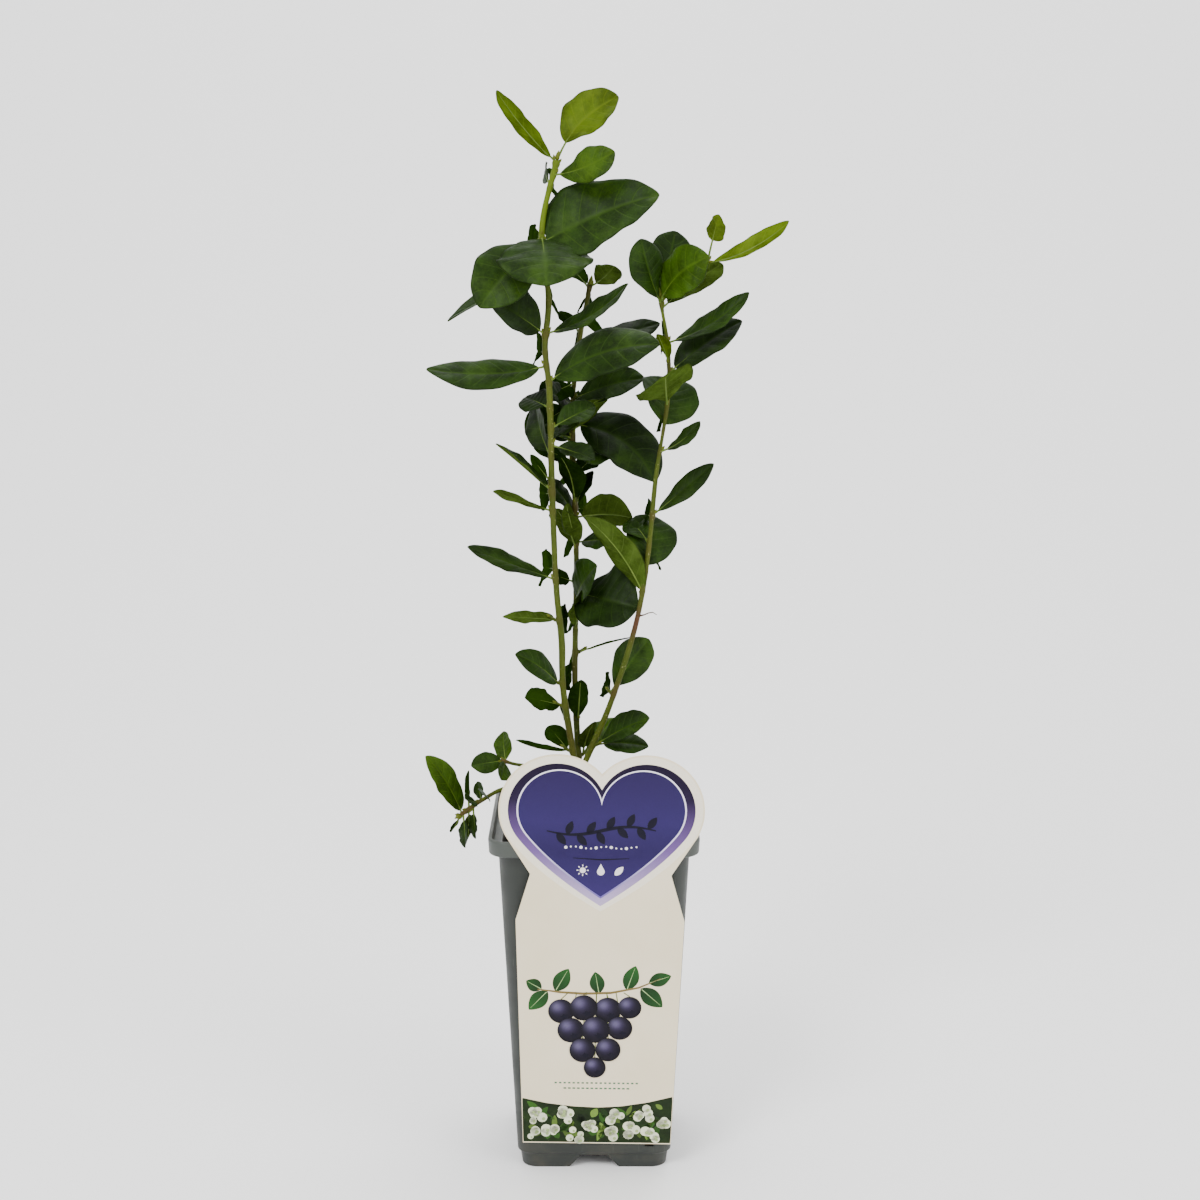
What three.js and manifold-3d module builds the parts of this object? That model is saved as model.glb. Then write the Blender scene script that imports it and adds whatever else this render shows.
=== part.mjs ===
/*
 * A young blueberry bush in a square nursery pot, with a heart-headed label card.
 *
 * Millimetres, +Z up. The origin is the centre of the pot's underside, +X is the
 * bush's right and -Y its front, where the card stands.
 *
 * The bush is three leafy canes and two low shoots on one short woody base. The
 * lower canes are bare limbs that carry small sprays. Higher up each cane becomes a
 * stack of leafy lengths, every one a node of its own with its leaves fused on.
 */
import * as THREE from 'three';
import { mergeVertices } from 'three/addons/utils/BufferGeometryUtils.js';
import Module from 'manifold-3d';

const wasm = await Module();
wasm.setup();

// ---------------------------------------------------------------- driving dimensions
const GAP = 0.3; // clearance between pieces that touch
const SEED = 4127; // of the back leaves

const POT = {
  height: 179,
  rimHalf: 53, // half the outer width of the collar
  collarHeight: 8.4,
  bodyTopHalf: 48,
  bodyFootHalf: 39.6,
  skirtHeight: 7.6,
  skirtTopHalf: 38.3,
  skirtFootHalf: 37.3,
  wall: 1.5,
  floorUnder: 5.6,
  floorTop: 7.4,
  bossRadius: 6,
  cornerRadius: 8,
};
const NOTCH = { foot: 25.6, top: 13.8, height: 6.8 }; // in the middle of each side's skirt
const DRAIN = { radius: 3.2, ring: 24, count: 8 };
const SLOT = { width: 4.6, height: 3.6, aside: 28.4, up: 14.2 };

const COMPOST = { top: 165, ruffle: 0.8, flatRadius: 11 };

const CARD = {
  thickness: 0.6,
  foot: 14.6, // height of its lower edge
  footHalf: 38,
  shoulder: 138, // height where the body is widest
  shoulderHalf: 42.2,
  neck: 162.7,
  neckHalf: 35.1,
  lobeRadius: 29,
  lobeAside: 21.9,
  lobeHeight: 196.5,
  aside: 1.3, // the foot's centre, to the right of the pot's centre
  lean: 0.8, // degrees, its head to the right
};

const BASE = { x: -6, y: 2, flare: 6.2, radius: 4, height: 28 }; // the woody base

const CANE_SIDES = 7;
const CANE_STEP = 11; // along a cane, between its rings
const LEAF = {
  stalk: 4, // from the cane's middle to the blade
  stalkRadius: 0.55,
  widthShare: 0.45, // of the length, where a row gives no width
  thicknessShare: 0.02, // of the length, at the midrib
  fold: 8, // degrees, each half of the blade up from flat
  widest: 1.05, // higher puts the widest place nearer the tip
  fullness: 0.6, // smaller is rounder
  stations: [0.1, 0.28, 0.5, 0.72, 0.9],
};

// Each cane is a smooth curve through its knots, and thins evenly to its tip.
const CANES = {
  left: {
    knots: [
      [-9.5, -1.5, 203], [-15.9, -8, 248], [-16.4, -10, 272], [-18.8, -12, 297], [-21, -13, 352],
      [-22.2, -10, 400], [-24.2, -8.6, 420], [-22.4, -7, 443], [-25.6, -5, 478], [-18.2, -4, 511],
    ],
    foot: 1.7,
    tip: 1.4,
  },
  middle: {
    knots: [
      [-8, 5.5, 203], [-10, 13, 245], [-9.2, 19, 310], [-10.6, 20, 360],
      [-10.8, 19, 392], [-7.4, 17, 422], [-2, 15.5, 450],
    ],
    foot: 1.6,
    tip: 1.1,
  },
  right: {
    knots: [
      [-4.8, -0.3, 206], [8, -3, 237], [21.4, -7, 281], [27.4, -8, 318],
      [31, -7, 355], [37.2, -3.5, 398], [36.7, -2, 421], [33, 0, 443],
    ],
    foot: 1.6,
    tip: 0.9,
  },
  right_twig: { knots: [[33, 0, 442], [45, 2.5, 454], [57, 4, 462]], foot: 0.9, tip: 0.7 },
  side: {
    knots: [[-11, -1.5, 181], [-28, -3, 190], [-46, -4, 193], [-58, -4.5, 187], [-69, -5, 179.5]],
    foot: 1.4,
    tip: 0.8,
  },
  second: { knots: [[-12, 5, 192], [-28, 10, 200], [-42, 12, 202], [-49, 12, 204]], foot: 1.2, tip: 0.8 },
};

// The bare lower limbs, by the heights where they end.
const LIMBS = [
  { name: 'left_stem', cane: 'left', to: 300 },
  { name: 'middle_stem', cane: 'middle', to: 268 },
  { name: 'right_stem', cane: 'right', to: 290 },
];
const SIDE_STEM_SHARE = 0.72; // of the side shoot's length, bare
const SPUR = { radius: 0.8, length: 3.5, leafAt: 0.5 }; // leafAt is along it, from its root

/*
 * Leaves. Bearings run from +X towards +Y, in degrees. A leaf's rise is the slope of
 * the straight line from its root to its tip. Lean turns the blade's upper face to the
 * front. Droop bends the blade away from its upper face, and sweep bends it sideways.
 */
const SPRAYS = [
  {
    name: 'left_spray_1', cane: 'left', height: 213, bearing: 160,
    leaves: [
      { bearing: 168, rise: 8, length: 28, width: 8, stalk: 1, droop: -30 },
      { bearing: 122, rise: 22, length: 22, width: 11, stalk: 1, lean: 20, droop: 20 },
    ],
  },
  {
    name: 'middle_spray_1', cane: 'middle', height: 208, bearing: 30,
    leaves: [
      { bearing: 15, rise: 45, length: 26, width: 16, lean: 20, droop: 30 },
      { bearing: 300, rise: 60, length: 23, width: 12, lean: 15, droop: 30 },
    ],
  },
  {
    name: 'left_spray_2', cane: 'left', height: 238, bearing: 200,
    leaves: [
      { bearing: 214, rise: 17, length: 22, width: 15, stalk: 0.5, lean: 40, sweep: 10 },
      { bearing: 86, rise: -26, length: 32, width: 12, lean: 85 },
    ],
  },
  {
    name: 'left_spray_3', cane: 'left', height: 250, bearing: 195,
    leaves: [
      {
        bearing: 206, rise: 36, length: 29, width: 17, stalk: 0.5, widest: 0.75,
        lean: 45, droop: 20, sweep: 20,
      },
      { bearing: 80, rise: -4, length: 38, width: 14, lean: 85 },
    ],
  },
  {
    name: 'left_spray_4', cane: 'left', height: 283, bearing: 165,
    leaves: [
      { bearing: 168, rise: 1, length: 27, width: 12, stalk: 0.5, widest: 0.7, lean: 20 },
      { bearing: 80, rise: -10, length: 36, lean: 85 },
    ],
  },
  {
    name: 'middle_spray_2', cane: 'middle', height: 227, bearing: 285,
    leaves: [
      { bearing: 284, rise: 74, length: 23, width: 13, stalk: 1, widest: 1.2, lean: 10 },
    ],
  },
  {
    name: 'middle_spray_3', cane: 'middle', height: 261, bearing: 20,
    leaves: [
      { bearing: 348, rise: 18, length: 29, width: 5, droop: 10 },
      { bearing: 96, rise: -12, length: 38, lean: 85 },
    ],
  },
  {
    name: 'right_spray_1', cane: 'right', height: 216, bearing: 310,
    leaves: [
      { bearing: 337, rise: 30, length: 34, width: 18, lean: 40, droop: 20 },
      { bearing: 344, rise: 2, length: 28, width: 14, lean: 30, droop: 30 },
    ],
  },
  {
    name: 'right_spray_2', cane: 'right', height: 243, bearing: 130,
    leaves: [
      {
        bearing: 28, rise: 49, length: 35, width: 20, widest: 1.25,
        lean: 75, droop: 30, sweep: -20,
      },
      { bearing: 95, rise: 0, length: 30, lean: 70 },
    ],
  },
];

// The leafy lengths of the canes, from the foot up. back is how many seeded leaves fill
// the far side of a length, facing is where they point on the whole, and bud is the
// length of the bud at a growing tip.
const MASSES = [
  {
    name: 'left_leaves_1', cane: 'left', from: 300, to: 357, back: 3, facing: 92,
    leaves: [
      {
        height: 304, bearing: 188, rise: 22, length: 48, width: 13,
        lean: 30, droop: -15, sweep: 15,
      },
      {
        height: 339, bearing: 199, rise: 20, length: 33, width: 13,
        lean: 15, droop: -10, sweep: 15,
      },
      { height: 349, bearing: 188, rise: 41, length: 37, width: 14, lean: 10, droop: 5 },
      { height: 353, bearing: 145, rise: 45, length: 19, width: 7, lean: 90, droop: 10 },
    ],
  },
  {
    name: 'left_leaves_2', cane: 'left', from: 357, to: 405, back: 3, facing: 92,
    leaves: [
      { height: 366, bearing: 112, rise: 50, length: 34, width: 18, lean: 75, droop: 30 },
      { height: 372, bearing: 340, rise: -15, length: 24, width: 14, lean: 30, droop: 10 },
      { height: 380, bearing: 20, rise: 25, length: 26, width: 14, lean: 40, droop: 15 },
      { height: 390, bearing: 132, rise: 13, length: 20, width: 18, lean: 35, droop: 20 },
      {
        height: 403, bearing: 344, rise: 19, length: 61, width: 31,
        lean: 50, droop: 25, sweep: -30,
      },
    ],
  },
  {
    name: 'left_leaves_3', cane: 'left', from: 405, to: 455, back: 2, facing: 92,
    leaves: [
      {
        height: 411, bearing: 186, rise: -1, length: 60, width: 21,
        lean: 45, droop: -15, sweep: -20,
      },
      { height: 426, bearing: 196, rise: 33, length: 34, width: 27, lean: 55, droop: 20 },
      {
        height: 427, bearing: 349, rise: 31, length: 49, width: 14,
        lean: 40, droop: -20, sweep: 35,
      },
    ],
  },
  {
    name: 'left_leaves_4', cane: 'left', from: 455, to: 511, back: 2, bud: 5, facing: 92,
    leaves: [
      { height: 458, bearing: 160, rise: -26, length: 59, width: 17, lean: 35, droop: 10 },
      {
        height: 470, bearing: 212, rise: -40, length: 47, width: 31,
        lean: 45, droop: 30, sweep: 15,
      },
      { height: 474, bearing: 276, rise: -38, length: 38, width: 46, droop: 40 },
      {
        height: 471, bearing: 352, rise: 22, length: 63, width: 39, stalk: 3, widest: 0.65,
        lean: 60, droop: 20, sweep: -8,
      },
      { height: 499, bearing: 98, rise: 30, length: 20, width: 10, lean: 80, droop: 30 },
      {
        height: 504, bearing: 334, rise: 18, length: 36, width: 19, widest: 1.5,
        lean: 70, droop: 20, sweep: 40,
      },
      {
        height: 509, bearing: 12, rise: 46, length: 47, width: 25, stalk: 12,
        lean: 45, droop: 15, sweep: -50,
      },
      {
        height: 510, bearing: 196, rise: 49, length: 46, width: 16,
        lean: -20, droop: 10, sweep: 40,
      },
    ],
  },
  {
    name: 'middle_leaves_1', cane: 'middle', from: 268, to: 310, back: 2,
    leaves: [
      { height: 272, bearing: 290, rise: 64, length: 27, width: 16, lean: 40, droop: 20 },
      { height: 287, bearing: 304, rise: 49, length: 30, width: 24, lean: 80, droop: 40 },
      {
        height: 292, bearing: 327, rise: -6, length: 39, width: 38,
        lean: 45, droop: 40, sweep: 20,
      },
      { height: 297, bearing: 195, rise: 20, length: 14, width: 12, lean: 40, droop: 20 },
    ],
  },
  {
    name: 'middle_leaves_2', cane: 'middle', from: 310, to: 362, back: 3,
    leaves: [
      { height: 314, bearing: 238, rise: 52, length: 31, width: 18, droop: 30 },
      { height: 318, bearing: 330, rise: 7, length: 26, width: 18, lean: 30, droop: 20 },
      { height: 319, bearing: 256, rise: 47, length: 30, width: 10, lean: -70, droop: 10 },
      { height: 330, bearing: 190, rise: 55, length: 26, width: 16, lean: 30, droop: 30 },
      {
        height: 331, bearing: 338, rise: 3, length: 32, width: 24,
        lean: -50, droop: 30, sweep: 10,
      },
      { height: 336, bearing: 60, rise: 45, length: 25, width: 10, droop: 20 },
      { height: 338, bearing: 248, rise: 55, length: 34, width: 18, lean: 20, droop: 40 },
      { height: 352, bearing: 51, rise: 26, length: 26, width: 18, droop: 20 },
      { height: 360, bearing: 190, rise: 20, length: 22, width: 14, lean: 30, droop: 20 },
    ],
  },
  {
    name: 'middle_leaves_3', cane: 'middle', from: 362, to: 412, back: 3,
    leaves: [
      { height: 366, bearing: 335, rise: -4, length: 23, width: 17, lean: 45, droop: 20 },
      { height: 368, bearing: 170, rise: 45, length: 24, width: 18, lean: 40, droop: 20 },
      { height: 372, bearing: 215, rise: 10, length: 24, width: 16, lean: 30, droop: 20 },
      { height: 374, bearing: 301, rise: 38, length: 33, width: 24, droop: 40 },
      {
        height: 379, bearing: 341, rise: -32, length: 55, width: 32, widest: 0.9,
        lean: 40, droop: 30, sweep: -60,
      },
      { height: 384, bearing: 250, rise: -20, length: 26, width: 18, droop: 20 },
      { height: 387, bearing: 240, rise: 23, length: 27, width: 19, lean: 60, droop: 40 },
      { height: 389, bearing: 208, rise: -28, length: 30, width: 20, lean: 35, droop: 20 },
      { height: 392, bearing: 339, rise: 17, length: 41, width: 22, lean: 50, droop: 30 },
      { height: 400, bearing: 232, rise: -14, length: 26, width: 18, lean: 30, droop: 20 },
    ],
  },
  {
    name: 'middle_leaves_4', cane: 'middle', from: 412, to: 450, back: 3, bud: 5,
    leaves: [
      { height: 416, bearing: 16, rise: 18, length: 46, width: 16, lean: 30, droop: 10 },
      { height: 425, bearing: 128, rise: 33, length: 21, width: 10, droop: 20 },
      { height: 437, bearing: 75, rise: 32, length: 13, width: 8, lean: 90, droop: 20 },
      { height: 449, bearing: 42, rise: 32, length: 20, width: 15, lean: 35, droop: 20, sweep: 40 },
      { height: 448, bearing: 130, rise: 32, length: 25, width: 14, droop: 20 },
    ],
  },
  {
    name: 'right_leaves_1', cane: 'right', from: 290, to: 345, back: 3, facing: 92,
    leaves: [
      {
        height: 297, bearing: 195, rise: 53, length: 50, width: 20, stalk: 1,
        lean: -40, droop: 20, sweep: -20,
      },
      { height: 307, bearing: 81, rise: 53, length: 34, width: 28, lean: 30, droop: 40 },
      { height: 321, bearing: 123, rise: 29, length: 22, width: 16, lean: 10, droop: 40 },
      {
        height: 336, bearing: 349, rise: 41, length: 41, width: 13,
        lean: 45, droop: -10, sweep: -5,
      },
    ],
  },
  {
    name: 'right_leaves_2', cane: 'right', from: 345, to: 400, back: 2, facing: 92,
    leaves: [
      {
        height: 368, bearing: 354, rise: 38, length: 26, width: 10,
        lean: 35, droop: -15, sweep: 45,
      },
      { height: 378, bearing: 84, rise: 49, length: 34, width: 32, lean: 30, droop: 30 },
      {
        height: 391, bearing: 266, rise: 33, length: 31, width: 32, widest: 1.5,
        lean: -25, droop: 10,
      },
    ],
  },
  {
    name: 'right_leaves_3', cane: 'right', from: 400, to: 432, back: 2, facing: 92,
    leaves: [
      { height: 407, bearing: 8, rise: 35, length: 45, width: 23, lean: 40, droop: 10, sweep: -10 },
      { height: 411, bearing: 227, rise: 62, length: 18, width: 10, lean: 10, droop: 20 },
      {
        height: 422, bearing: 354, rise: 32, length: 48, width: 15,
        lean: 35, droop: -20, sweep: 25,
      },
    ],
  },
  {
    name: 'right_leaves_4', cane: 'right', from: 432, to: 443, bud: 8, twig: 'right_twig',
    leaves: [
      { height: 439, bearing: 18, rise: 34, length: 39, width: 22, lean: 25, droop: 20, sweep: 10 },
      {
        height: 441, bearing: 224, rise: 66, length: 36, width: 22, widest: 1.5,
        lean: 90, droop: 20, sweep: -35,
      },
      {
        height: 441, bearing: 65, rise: 64, length: 40, width: 22, widest: 1.5,
        lean: 30, droop: 20,
      },
      {
        height: 442, bearing: 322, rise: 38, length: 38, width: 25,
        lean: 80, droop: 40, sweep: -30,
      },
      {
        along: 0.95, bearing: 357, rise: 27, length: 47, width: 13,
        lean: -35, droop: -10, sweep: -45,
      },
      {
        along: 0.98, bearing: 46, rise: 70, length: 25, width: 12, stalk: 11, widest: 0.6,
        lean: 80, droop: 20, sweep: -20,
      },
    ],
  },
];

// The low shoots' leaves are placed by their share of the shoot's length.
const SIDE_LEAVES = [
  {
    along: 0.99, bearing: 193, rise: 60, length: 37, width: 15, stalk: 2, widest: 0.95,
    lean: 55, droop: 10, sweep: 20,
  },
  { along: 0.92, bearing: 94, rise: 82, length: 20, width: 9, lean: 70, droop: 5 },
  { along: 0.8, bearing: 110, rise: 50, length: 11, width: 7, stalk: 1, lean: 60, droop: 5 },
  { along: 0.84, bearing: 240, rise: 25, length: 12, width: 9, stalk: 1, lean: 40, droop: 10 },
  { along: 0.98, bearing: 281, rise: -70, length: 18, width: 10, lean: 65, droop: -10 },
  { along: 0.92, bearing: 100, rise: -66, length: 20, width: 10, lean: 45 },
  { along: 0.995, bearing: 146, rise: -56, length: 13, width: 6 },
  { along: 0.88, bearing: 288, rise: -76, length: 17, width: 9, lean: 70 },
  { along: 0.745, bearing: 262, rise: 22, length: 15, width: 9, stalk: 1, lean: 50, droop: 10 },
];
const SECOND_LEAVES = [
  { along: 0.93, bearing: 100, rise: 56, length: 17, width: 12, stalk: 1, lean: 40, droop: 20 },
  { along: 0.97, bearing: 205, rise: -2, length: 18, width: 12, stalk: 1, lean: 60, droop: 20 },
  { along: 0.95, bearing: 262, rise: -40, length: 12, width: 12, stalk: 1, lean: 65, droop: 20 },
  { along: 0.6, bearing: 70, rise: -25, length: 30, width: 14, lean: 60, droop: 10 },
];

// Seeded back leaves: how they stand, and the spread about each value.
const BACK = {
  bearing: 90,
  fan: 5, // alternate leaves stand this far to either side
  lean: 76,
  hang: 15, // degrees below level at the low height, and level at the high one
  low: 200,
  high: 480,
  length: 42,
  spread: { bearing: 4, rise: 3, length: 6, lean: 12 },
};

// ---------------------------------------------------------------- plain geometry
const rad = THREE.MathUtils.degToRad;

function middleOf(ring) {
  const sum = new THREE.Vector3();
  for (const point of ring) sum.add(point);
  return sum.divideScalar(ring.length);
}

// Joins rings of one length into a closed skin, fanned shut at its start and at its
// end, where a tip may stand in for the ring's middle. Each ring runs anticlockwise
// round the way the rings travel.
function loft(rings, tip) {
  const count = rings[0].length;
  const index = [];
  for (let r = 0; r + 1 < rings.length; r += 1) {
    for (let i = 0; i < count; i += 1) {
      const a = r * count + i;
      const b = r * count + ((i + 1) % count);
      index.push(a, b, b + count, a, b + count, a + count);
    }
  }
  const last = (rings.length - 1) * count;
  const start = rings.length * count;
  for (let i = 0; i < count; i += 1) {
    const next = (i + 1) % count;
    index.push(start, next, i, start + 1, last + i, last + next);
  }
  const points = [...rings.flat(), middleOf(rings[0]), tip ?? middleOf(rings.at(-1))];
  const geometry = new THREE.BufferGeometry().setFromPoints(points);
  geometry.setIndex(index);
  return geometry;
}

function solidOf(geometry) {
  const bare = geometry.clone();
  bare.deleteAttribute('normal');
  bare.deleteAttribute('uv');
  const merged = mergeVertices(bare, 1e-4);
  return new wasm.Manifold(new wasm.Mesh({
    numProp: 3,
    vertProperties: new Float32Array(merged.attributes.position.array),
    triVerts: new Uint32Array(merged.index.array),
  }));
}

function geometryOf(solid) {
  const mesh = solid.getMesh();
  const geometry = new THREE.BufferGeometry();
  geometry.setAttribute('position', new THREE.BufferAttribute(mesh.vertProperties, 3));
  geometry.setIndex(new THREE.BufferAttribute(mesh.triVerts, 1));
  geometry.computeVertexNormals();
  return geometry;
}

// A square ring with round corners, at one height.
function squareRing(height, half, corner, steps = 4) {
  const ring = [];
  for (let side = 0; side < 4; side += 1) {
    const middle = new THREE.Vector2(half - corner, half - corner);
    middle.rotateAround(new THREE.Vector2(), (side * Math.PI) / 2);
    for (let i = 0; i <= steps; i += 1) {
      const angle = ((side + i / steps) * Math.PI) / 2;
      const x = middle.x + corner * Math.cos(angle);
      const y = middle.y + corner * Math.sin(angle);
      ring.push(new THREE.Vector3(x, y, height));
    }
  }
  return ring;
}

function boxAt(width, depth, height, x, y, z) {
  return new THREE.BoxGeometry(width, depth, height).translate(x, y, z);
}

// ---------------------------------------------------------------- pot and compost
const slope = (POT.bodyTopHalf - POT.bodyFootHalf) / (POT.height - POT.collarHeight - POT.skirtHeight);
const outerHalf = (height) => POT.bodyFootHalf + slope * (height - POT.skirtHeight);
const innerHalf = (height) => outerHalf(height) - POT.wall;

function buildPot() {
  const { height, rimHalf, wall, cornerRadius: corner } = POT;
  const collarFoot = height - POT.collarHeight;
  const profile = [
    [0, POT.bossRadius, POT.bossRadius],
    [POT.floorUnder, POT.bossRadius + 0.5, POT.bossRadius + 0.5],
    [POT.floorUnder, POT.skirtFootHalf - wall + 0.2, corner - wall],
    [0, POT.skirtFootHalf - wall, corner - wall],
    [0, POT.skirtFootHalf, corner],
    [POT.skirtHeight, POT.skirtTopHalf, corner],
    [POT.skirtHeight + 1, outerHalf(POT.skirtHeight + 1), corner],
    [collarFoot, outerHalf(collarFoot), corner + 1],
    [collarFoot, rimHalf - 1, corner + 2],
    [collarFoot + 0.7, rimHalf - 0.4, corner + 2],
    [height - 0.7, rimHalf, corner + 2],
    [height, rimHalf - 0.6, corner + 1.6],
    [height, rimHalf - wall, corner + 1],
    [height - 0.6, rimHalf - wall - 0.5, corner + 0.6],
    [collarFoot + wall, rimHalf - wall - 0.8, corner + 0.4],
    [collarFoot + wall, innerHalf(collarFoot + wall), corner - wall],
    [POT.floorTop + 2, innerHalf(POT.floorTop + 2), corner - wall],
    [POT.floorTop, POT.skirtTopHalf - wall, corner - wall - 0.5],
  ];
  let solid = solidOf(loft(profile.map((row) => squareRing(...row))));
  for (let side = 0; side < 4; side += 1) {
    const turn = (side * Math.PI) / 2;
    const outline = new THREE.Shape([
      new THREE.Vector2(-NOTCH.foot / 2 - 0.9, -1),
      new THREE.Vector2(NOTCH.foot / 2 + 0.9, -1),
      new THREE.Vector2(NOTCH.top / 2, NOTCH.height),
      new THREE.Vector2(-NOTCH.top / 2, NOTCH.height),
    ]);
    const notch = new THREE.ExtrudeGeometry(outline, { depth: 5, bevelEnabled: false });
    notch.rotateX(Math.PI / 2).translate(0, -(POT.skirtFootHalf - wall - 1.4), 0).rotateZ(turn);
    solid = solid.subtract(solidOf(notch));
    const slot = boxAt(SLOT.width, 8, SLOT.height, SLOT.aside, -outerHalf(SLOT.up), SLOT.up);
    solid = solid.subtract(solidOf(slot.rotateZ(turn)));
  }
  for (let i = 0; i < DRAIN.count; i += 1) {
    const angle = ((i + 0.5) / DRAIN.count) * Math.PI * 2;
    const hole = new THREE.CylinderGeometry(DRAIN.radius, DRAIN.radius, 6, 10).rotateX(Math.PI / 2);
    hole.translate(DRAIN.ring * Math.cos(angle), DRAIN.ring * Math.sin(angle), POT.floorTop);
    solid = solid.subtract(solidOf(hole));
  }
  return solid;
}

// The compost's surface: low ruffles, flat where the woody base stands.
function compostHeight(x, y) {
  const away = Math.hypot(x - BASE.x, y - BASE.y) - COMPOST.flatRadius;
  const blend = THREE.MathUtils.clamp(away / 8, 0, 1);
  return COMPOST.top + blend * COMPOST.ruffle * Math.sin(x / 6.5 + 1) * Math.cos(y / 5.5);
}

function buildCompost() {
  const corner = POT.cornerRadius - POT.wall - GAP;
  const foot = POT.floorTop + GAP;
  const edge = innerHalf(COMPOST.top) - GAP;
  const rings = [
    squareRing(foot, POT.skirtTopHalf - POT.wall - 2 * GAP, corner - 0.5),
    squareRing(POT.floorTop + 2 + GAP, innerHalf(POT.floorTop + 2) - GAP, corner),
    squareRing(COMPOST.top - 2, innerHalf(COMPOST.top - 2) - GAP, corner),
  ];
  for (const share of [0.97, 0.78, 0.58, 0.38, 0.18]) {
    rings.push(squareRing(COMPOST.top, edge * share, Math.min(corner, edge * share * 0.8)));
  }
  for (const ring of rings.slice(3)) {
    for (const point of ring) point.z = compostHeight(point.x, point.y);
  }
  return solidOf(loft(rings));
}

// ---------------------------------------------------------------- label card
// The card leans on the collar's front edge and on the wall just above the skirt.
const cardFootY = -(outerHalf(CARD.foot) + GAP);
const cardSlope = (POT.rimHalf + GAP + cardFootY) / (POT.height - 0.7 - CARD.foot);

function buildCard() {
  const shape = new THREE.Shape();
  const top = CARD.lobeHeight - CARD.foot;
  const cleft = Math.asin(CARD.lobeAside / CARD.lobeRadius);
  const flank = rad(-28); // where the lobe's arc gives way to the straight flank
  shape.moveTo(-CARD.footHalf, 0);
  shape.lineTo(CARD.footHalf, 0);
  shape.lineTo(CARD.shoulderHalf, CARD.shoulder - CARD.foot);
  shape.lineTo(CARD.neckHalf, CARD.neck - CARD.foot);
  shape.absarc(CARD.lobeAside, top, CARD.lobeRadius, flank, Math.PI / 2 + cleft, false);
  shape.absarc(-CARD.lobeAside, top, CARD.lobeRadius, Math.PI / 2 - cleft, Math.PI - flank, false);
  shape.lineTo(-CARD.neckHalf, CARD.neck - CARD.foot);
  shape.lineTo(-CARD.shoulderHalf, CARD.shoulder - CARD.foot);
  shape.closePath();
  const card = new THREE.ExtrudeGeometry(shape, {
    depth: CARD.thickness,
    bevelEnabled: false,
    curveSegments: 20,
  });
  card.rotateX(Math.PI / 2).rotateY(rad(CARD.lean)).rotateX(Math.atan(cardSlope));
  return solidOf(card.translate(CARD.aside, cardFootY, CARD.foot));
}

// ---------------------------------------------------------------- canes and limbs
function caneOf(name) {
  const { knots, foot, tip } = CANES[name];
  const curve = new THREE.CatmullRomCurve3(knots.map((knot) => new THREE.Vector3(...knot)));
  return { curve, foot, tip, length: curve.getLength() };
}
const canes = Object.fromEntries(Object.keys(CANES).map((name) => [name, caneOf(name)]));

// The share of an upright cane's length at which it reaches a height.
function shareAt(cane, height) {
  let low = 0;
  let high = 1;
  for (let i = 0; i < 30; i += 1) {
    const middle = (low + high) / 2;
    if (cane.curve.getPointAt(middle).z < height) low = middle;
    else high = middle;
  }
  return (low + high) / 2;
}

const radiusAt = (cane, share) => THREE.MathUtils.lerp(cane.foot, cane.tip, share);

function roundRing(centre, along, radius, sides) {
  const across = Math.abs(along.x) > 0.7 ? new THREE.Vector3(0, 1, 0) : new THREE.Vector3(1, 0, 0);
  const v = new THREE.Vector3().crossVectors(along, across).normalize();
  const u = new THREE.Vector3().crossVectors(v, along);
  const ring = [];
  for (let i = 0; i < sides; i += 1) {
    const angle = (i / sides) * Math.PI * 2;
    const point = centre.clone().addScaledVector(u, radius * Math.cos(angle));
    ring.push(point.addScaledVector(v, radius * Math.sin(angle)));
  }
  return ring;
}

// The stretch of a cane between two shares of its length.
function caneStretch(cane, from, to) {
  const steps = Math.max(2, Math.round(((to - from) * cane.length) / CANE_STEP));
  const rings = [];
  for (let i = 0; i <= steps; i += 1) {
    const share = THREE.MathUtils.lerp(from, to, i / steps);
    const centre = cane.curve.getPointAt(share);
    rings.push(roundRing(centre, cane.curve.getTangentAt(share), radiusAt(cane, share), CANE_SIDES));
  }
  return solidOf(loft(rings));
}

// A straight rod whose end may be cut square to another direction.
function taperedRod(from, to, startRadius, endRadius, endWay) {
  const along = to.clone().sub(from).normalize();
  return solidOf(loft([
    roundRing(from, along, startRadius, CANE_SIDES),
    roundRing(to, endWay ?? along, endRadius, CANE_SIDES),
  ]));
}

// The woody base: a flared foot on the compost, forking into a stub for every cane.
function buildBase() {
  const foot = COMPOST.top + GAP;
  const up = new THREE.Vector3(0, 0, 1);
  const centre = (rise) => new THREE.Vector3(BASE.x, BASE.y, foot + rise);
  const profile = [
    [0, BASE.flare],
    [3, BASE.flare * 0.78],
    [8, BASE.radius],
    [BASE.height, BASE.radius * 0.85],
  ];
  let solid = solidOf(loft(profile.map(([rise, radius]) => roundRing(centre(rise), up, radius, 10))));
  for (const name of ['left', 'middle', 'right', 'side', 'second']) {
    const cane = canes[name];
    const along = cane.curve.getTangentAt(0);
    const end = cane.curve.getPointAt(0).addScaledVector(along, -GAP);
    const start = centre(Math.min(end.z - foot - 5, BASE.height - 5));
    solid = solid.add(taperedRod(start, end, cane.foot * 1.2, cane.foot, along));
  }
  return solid;
}

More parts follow.
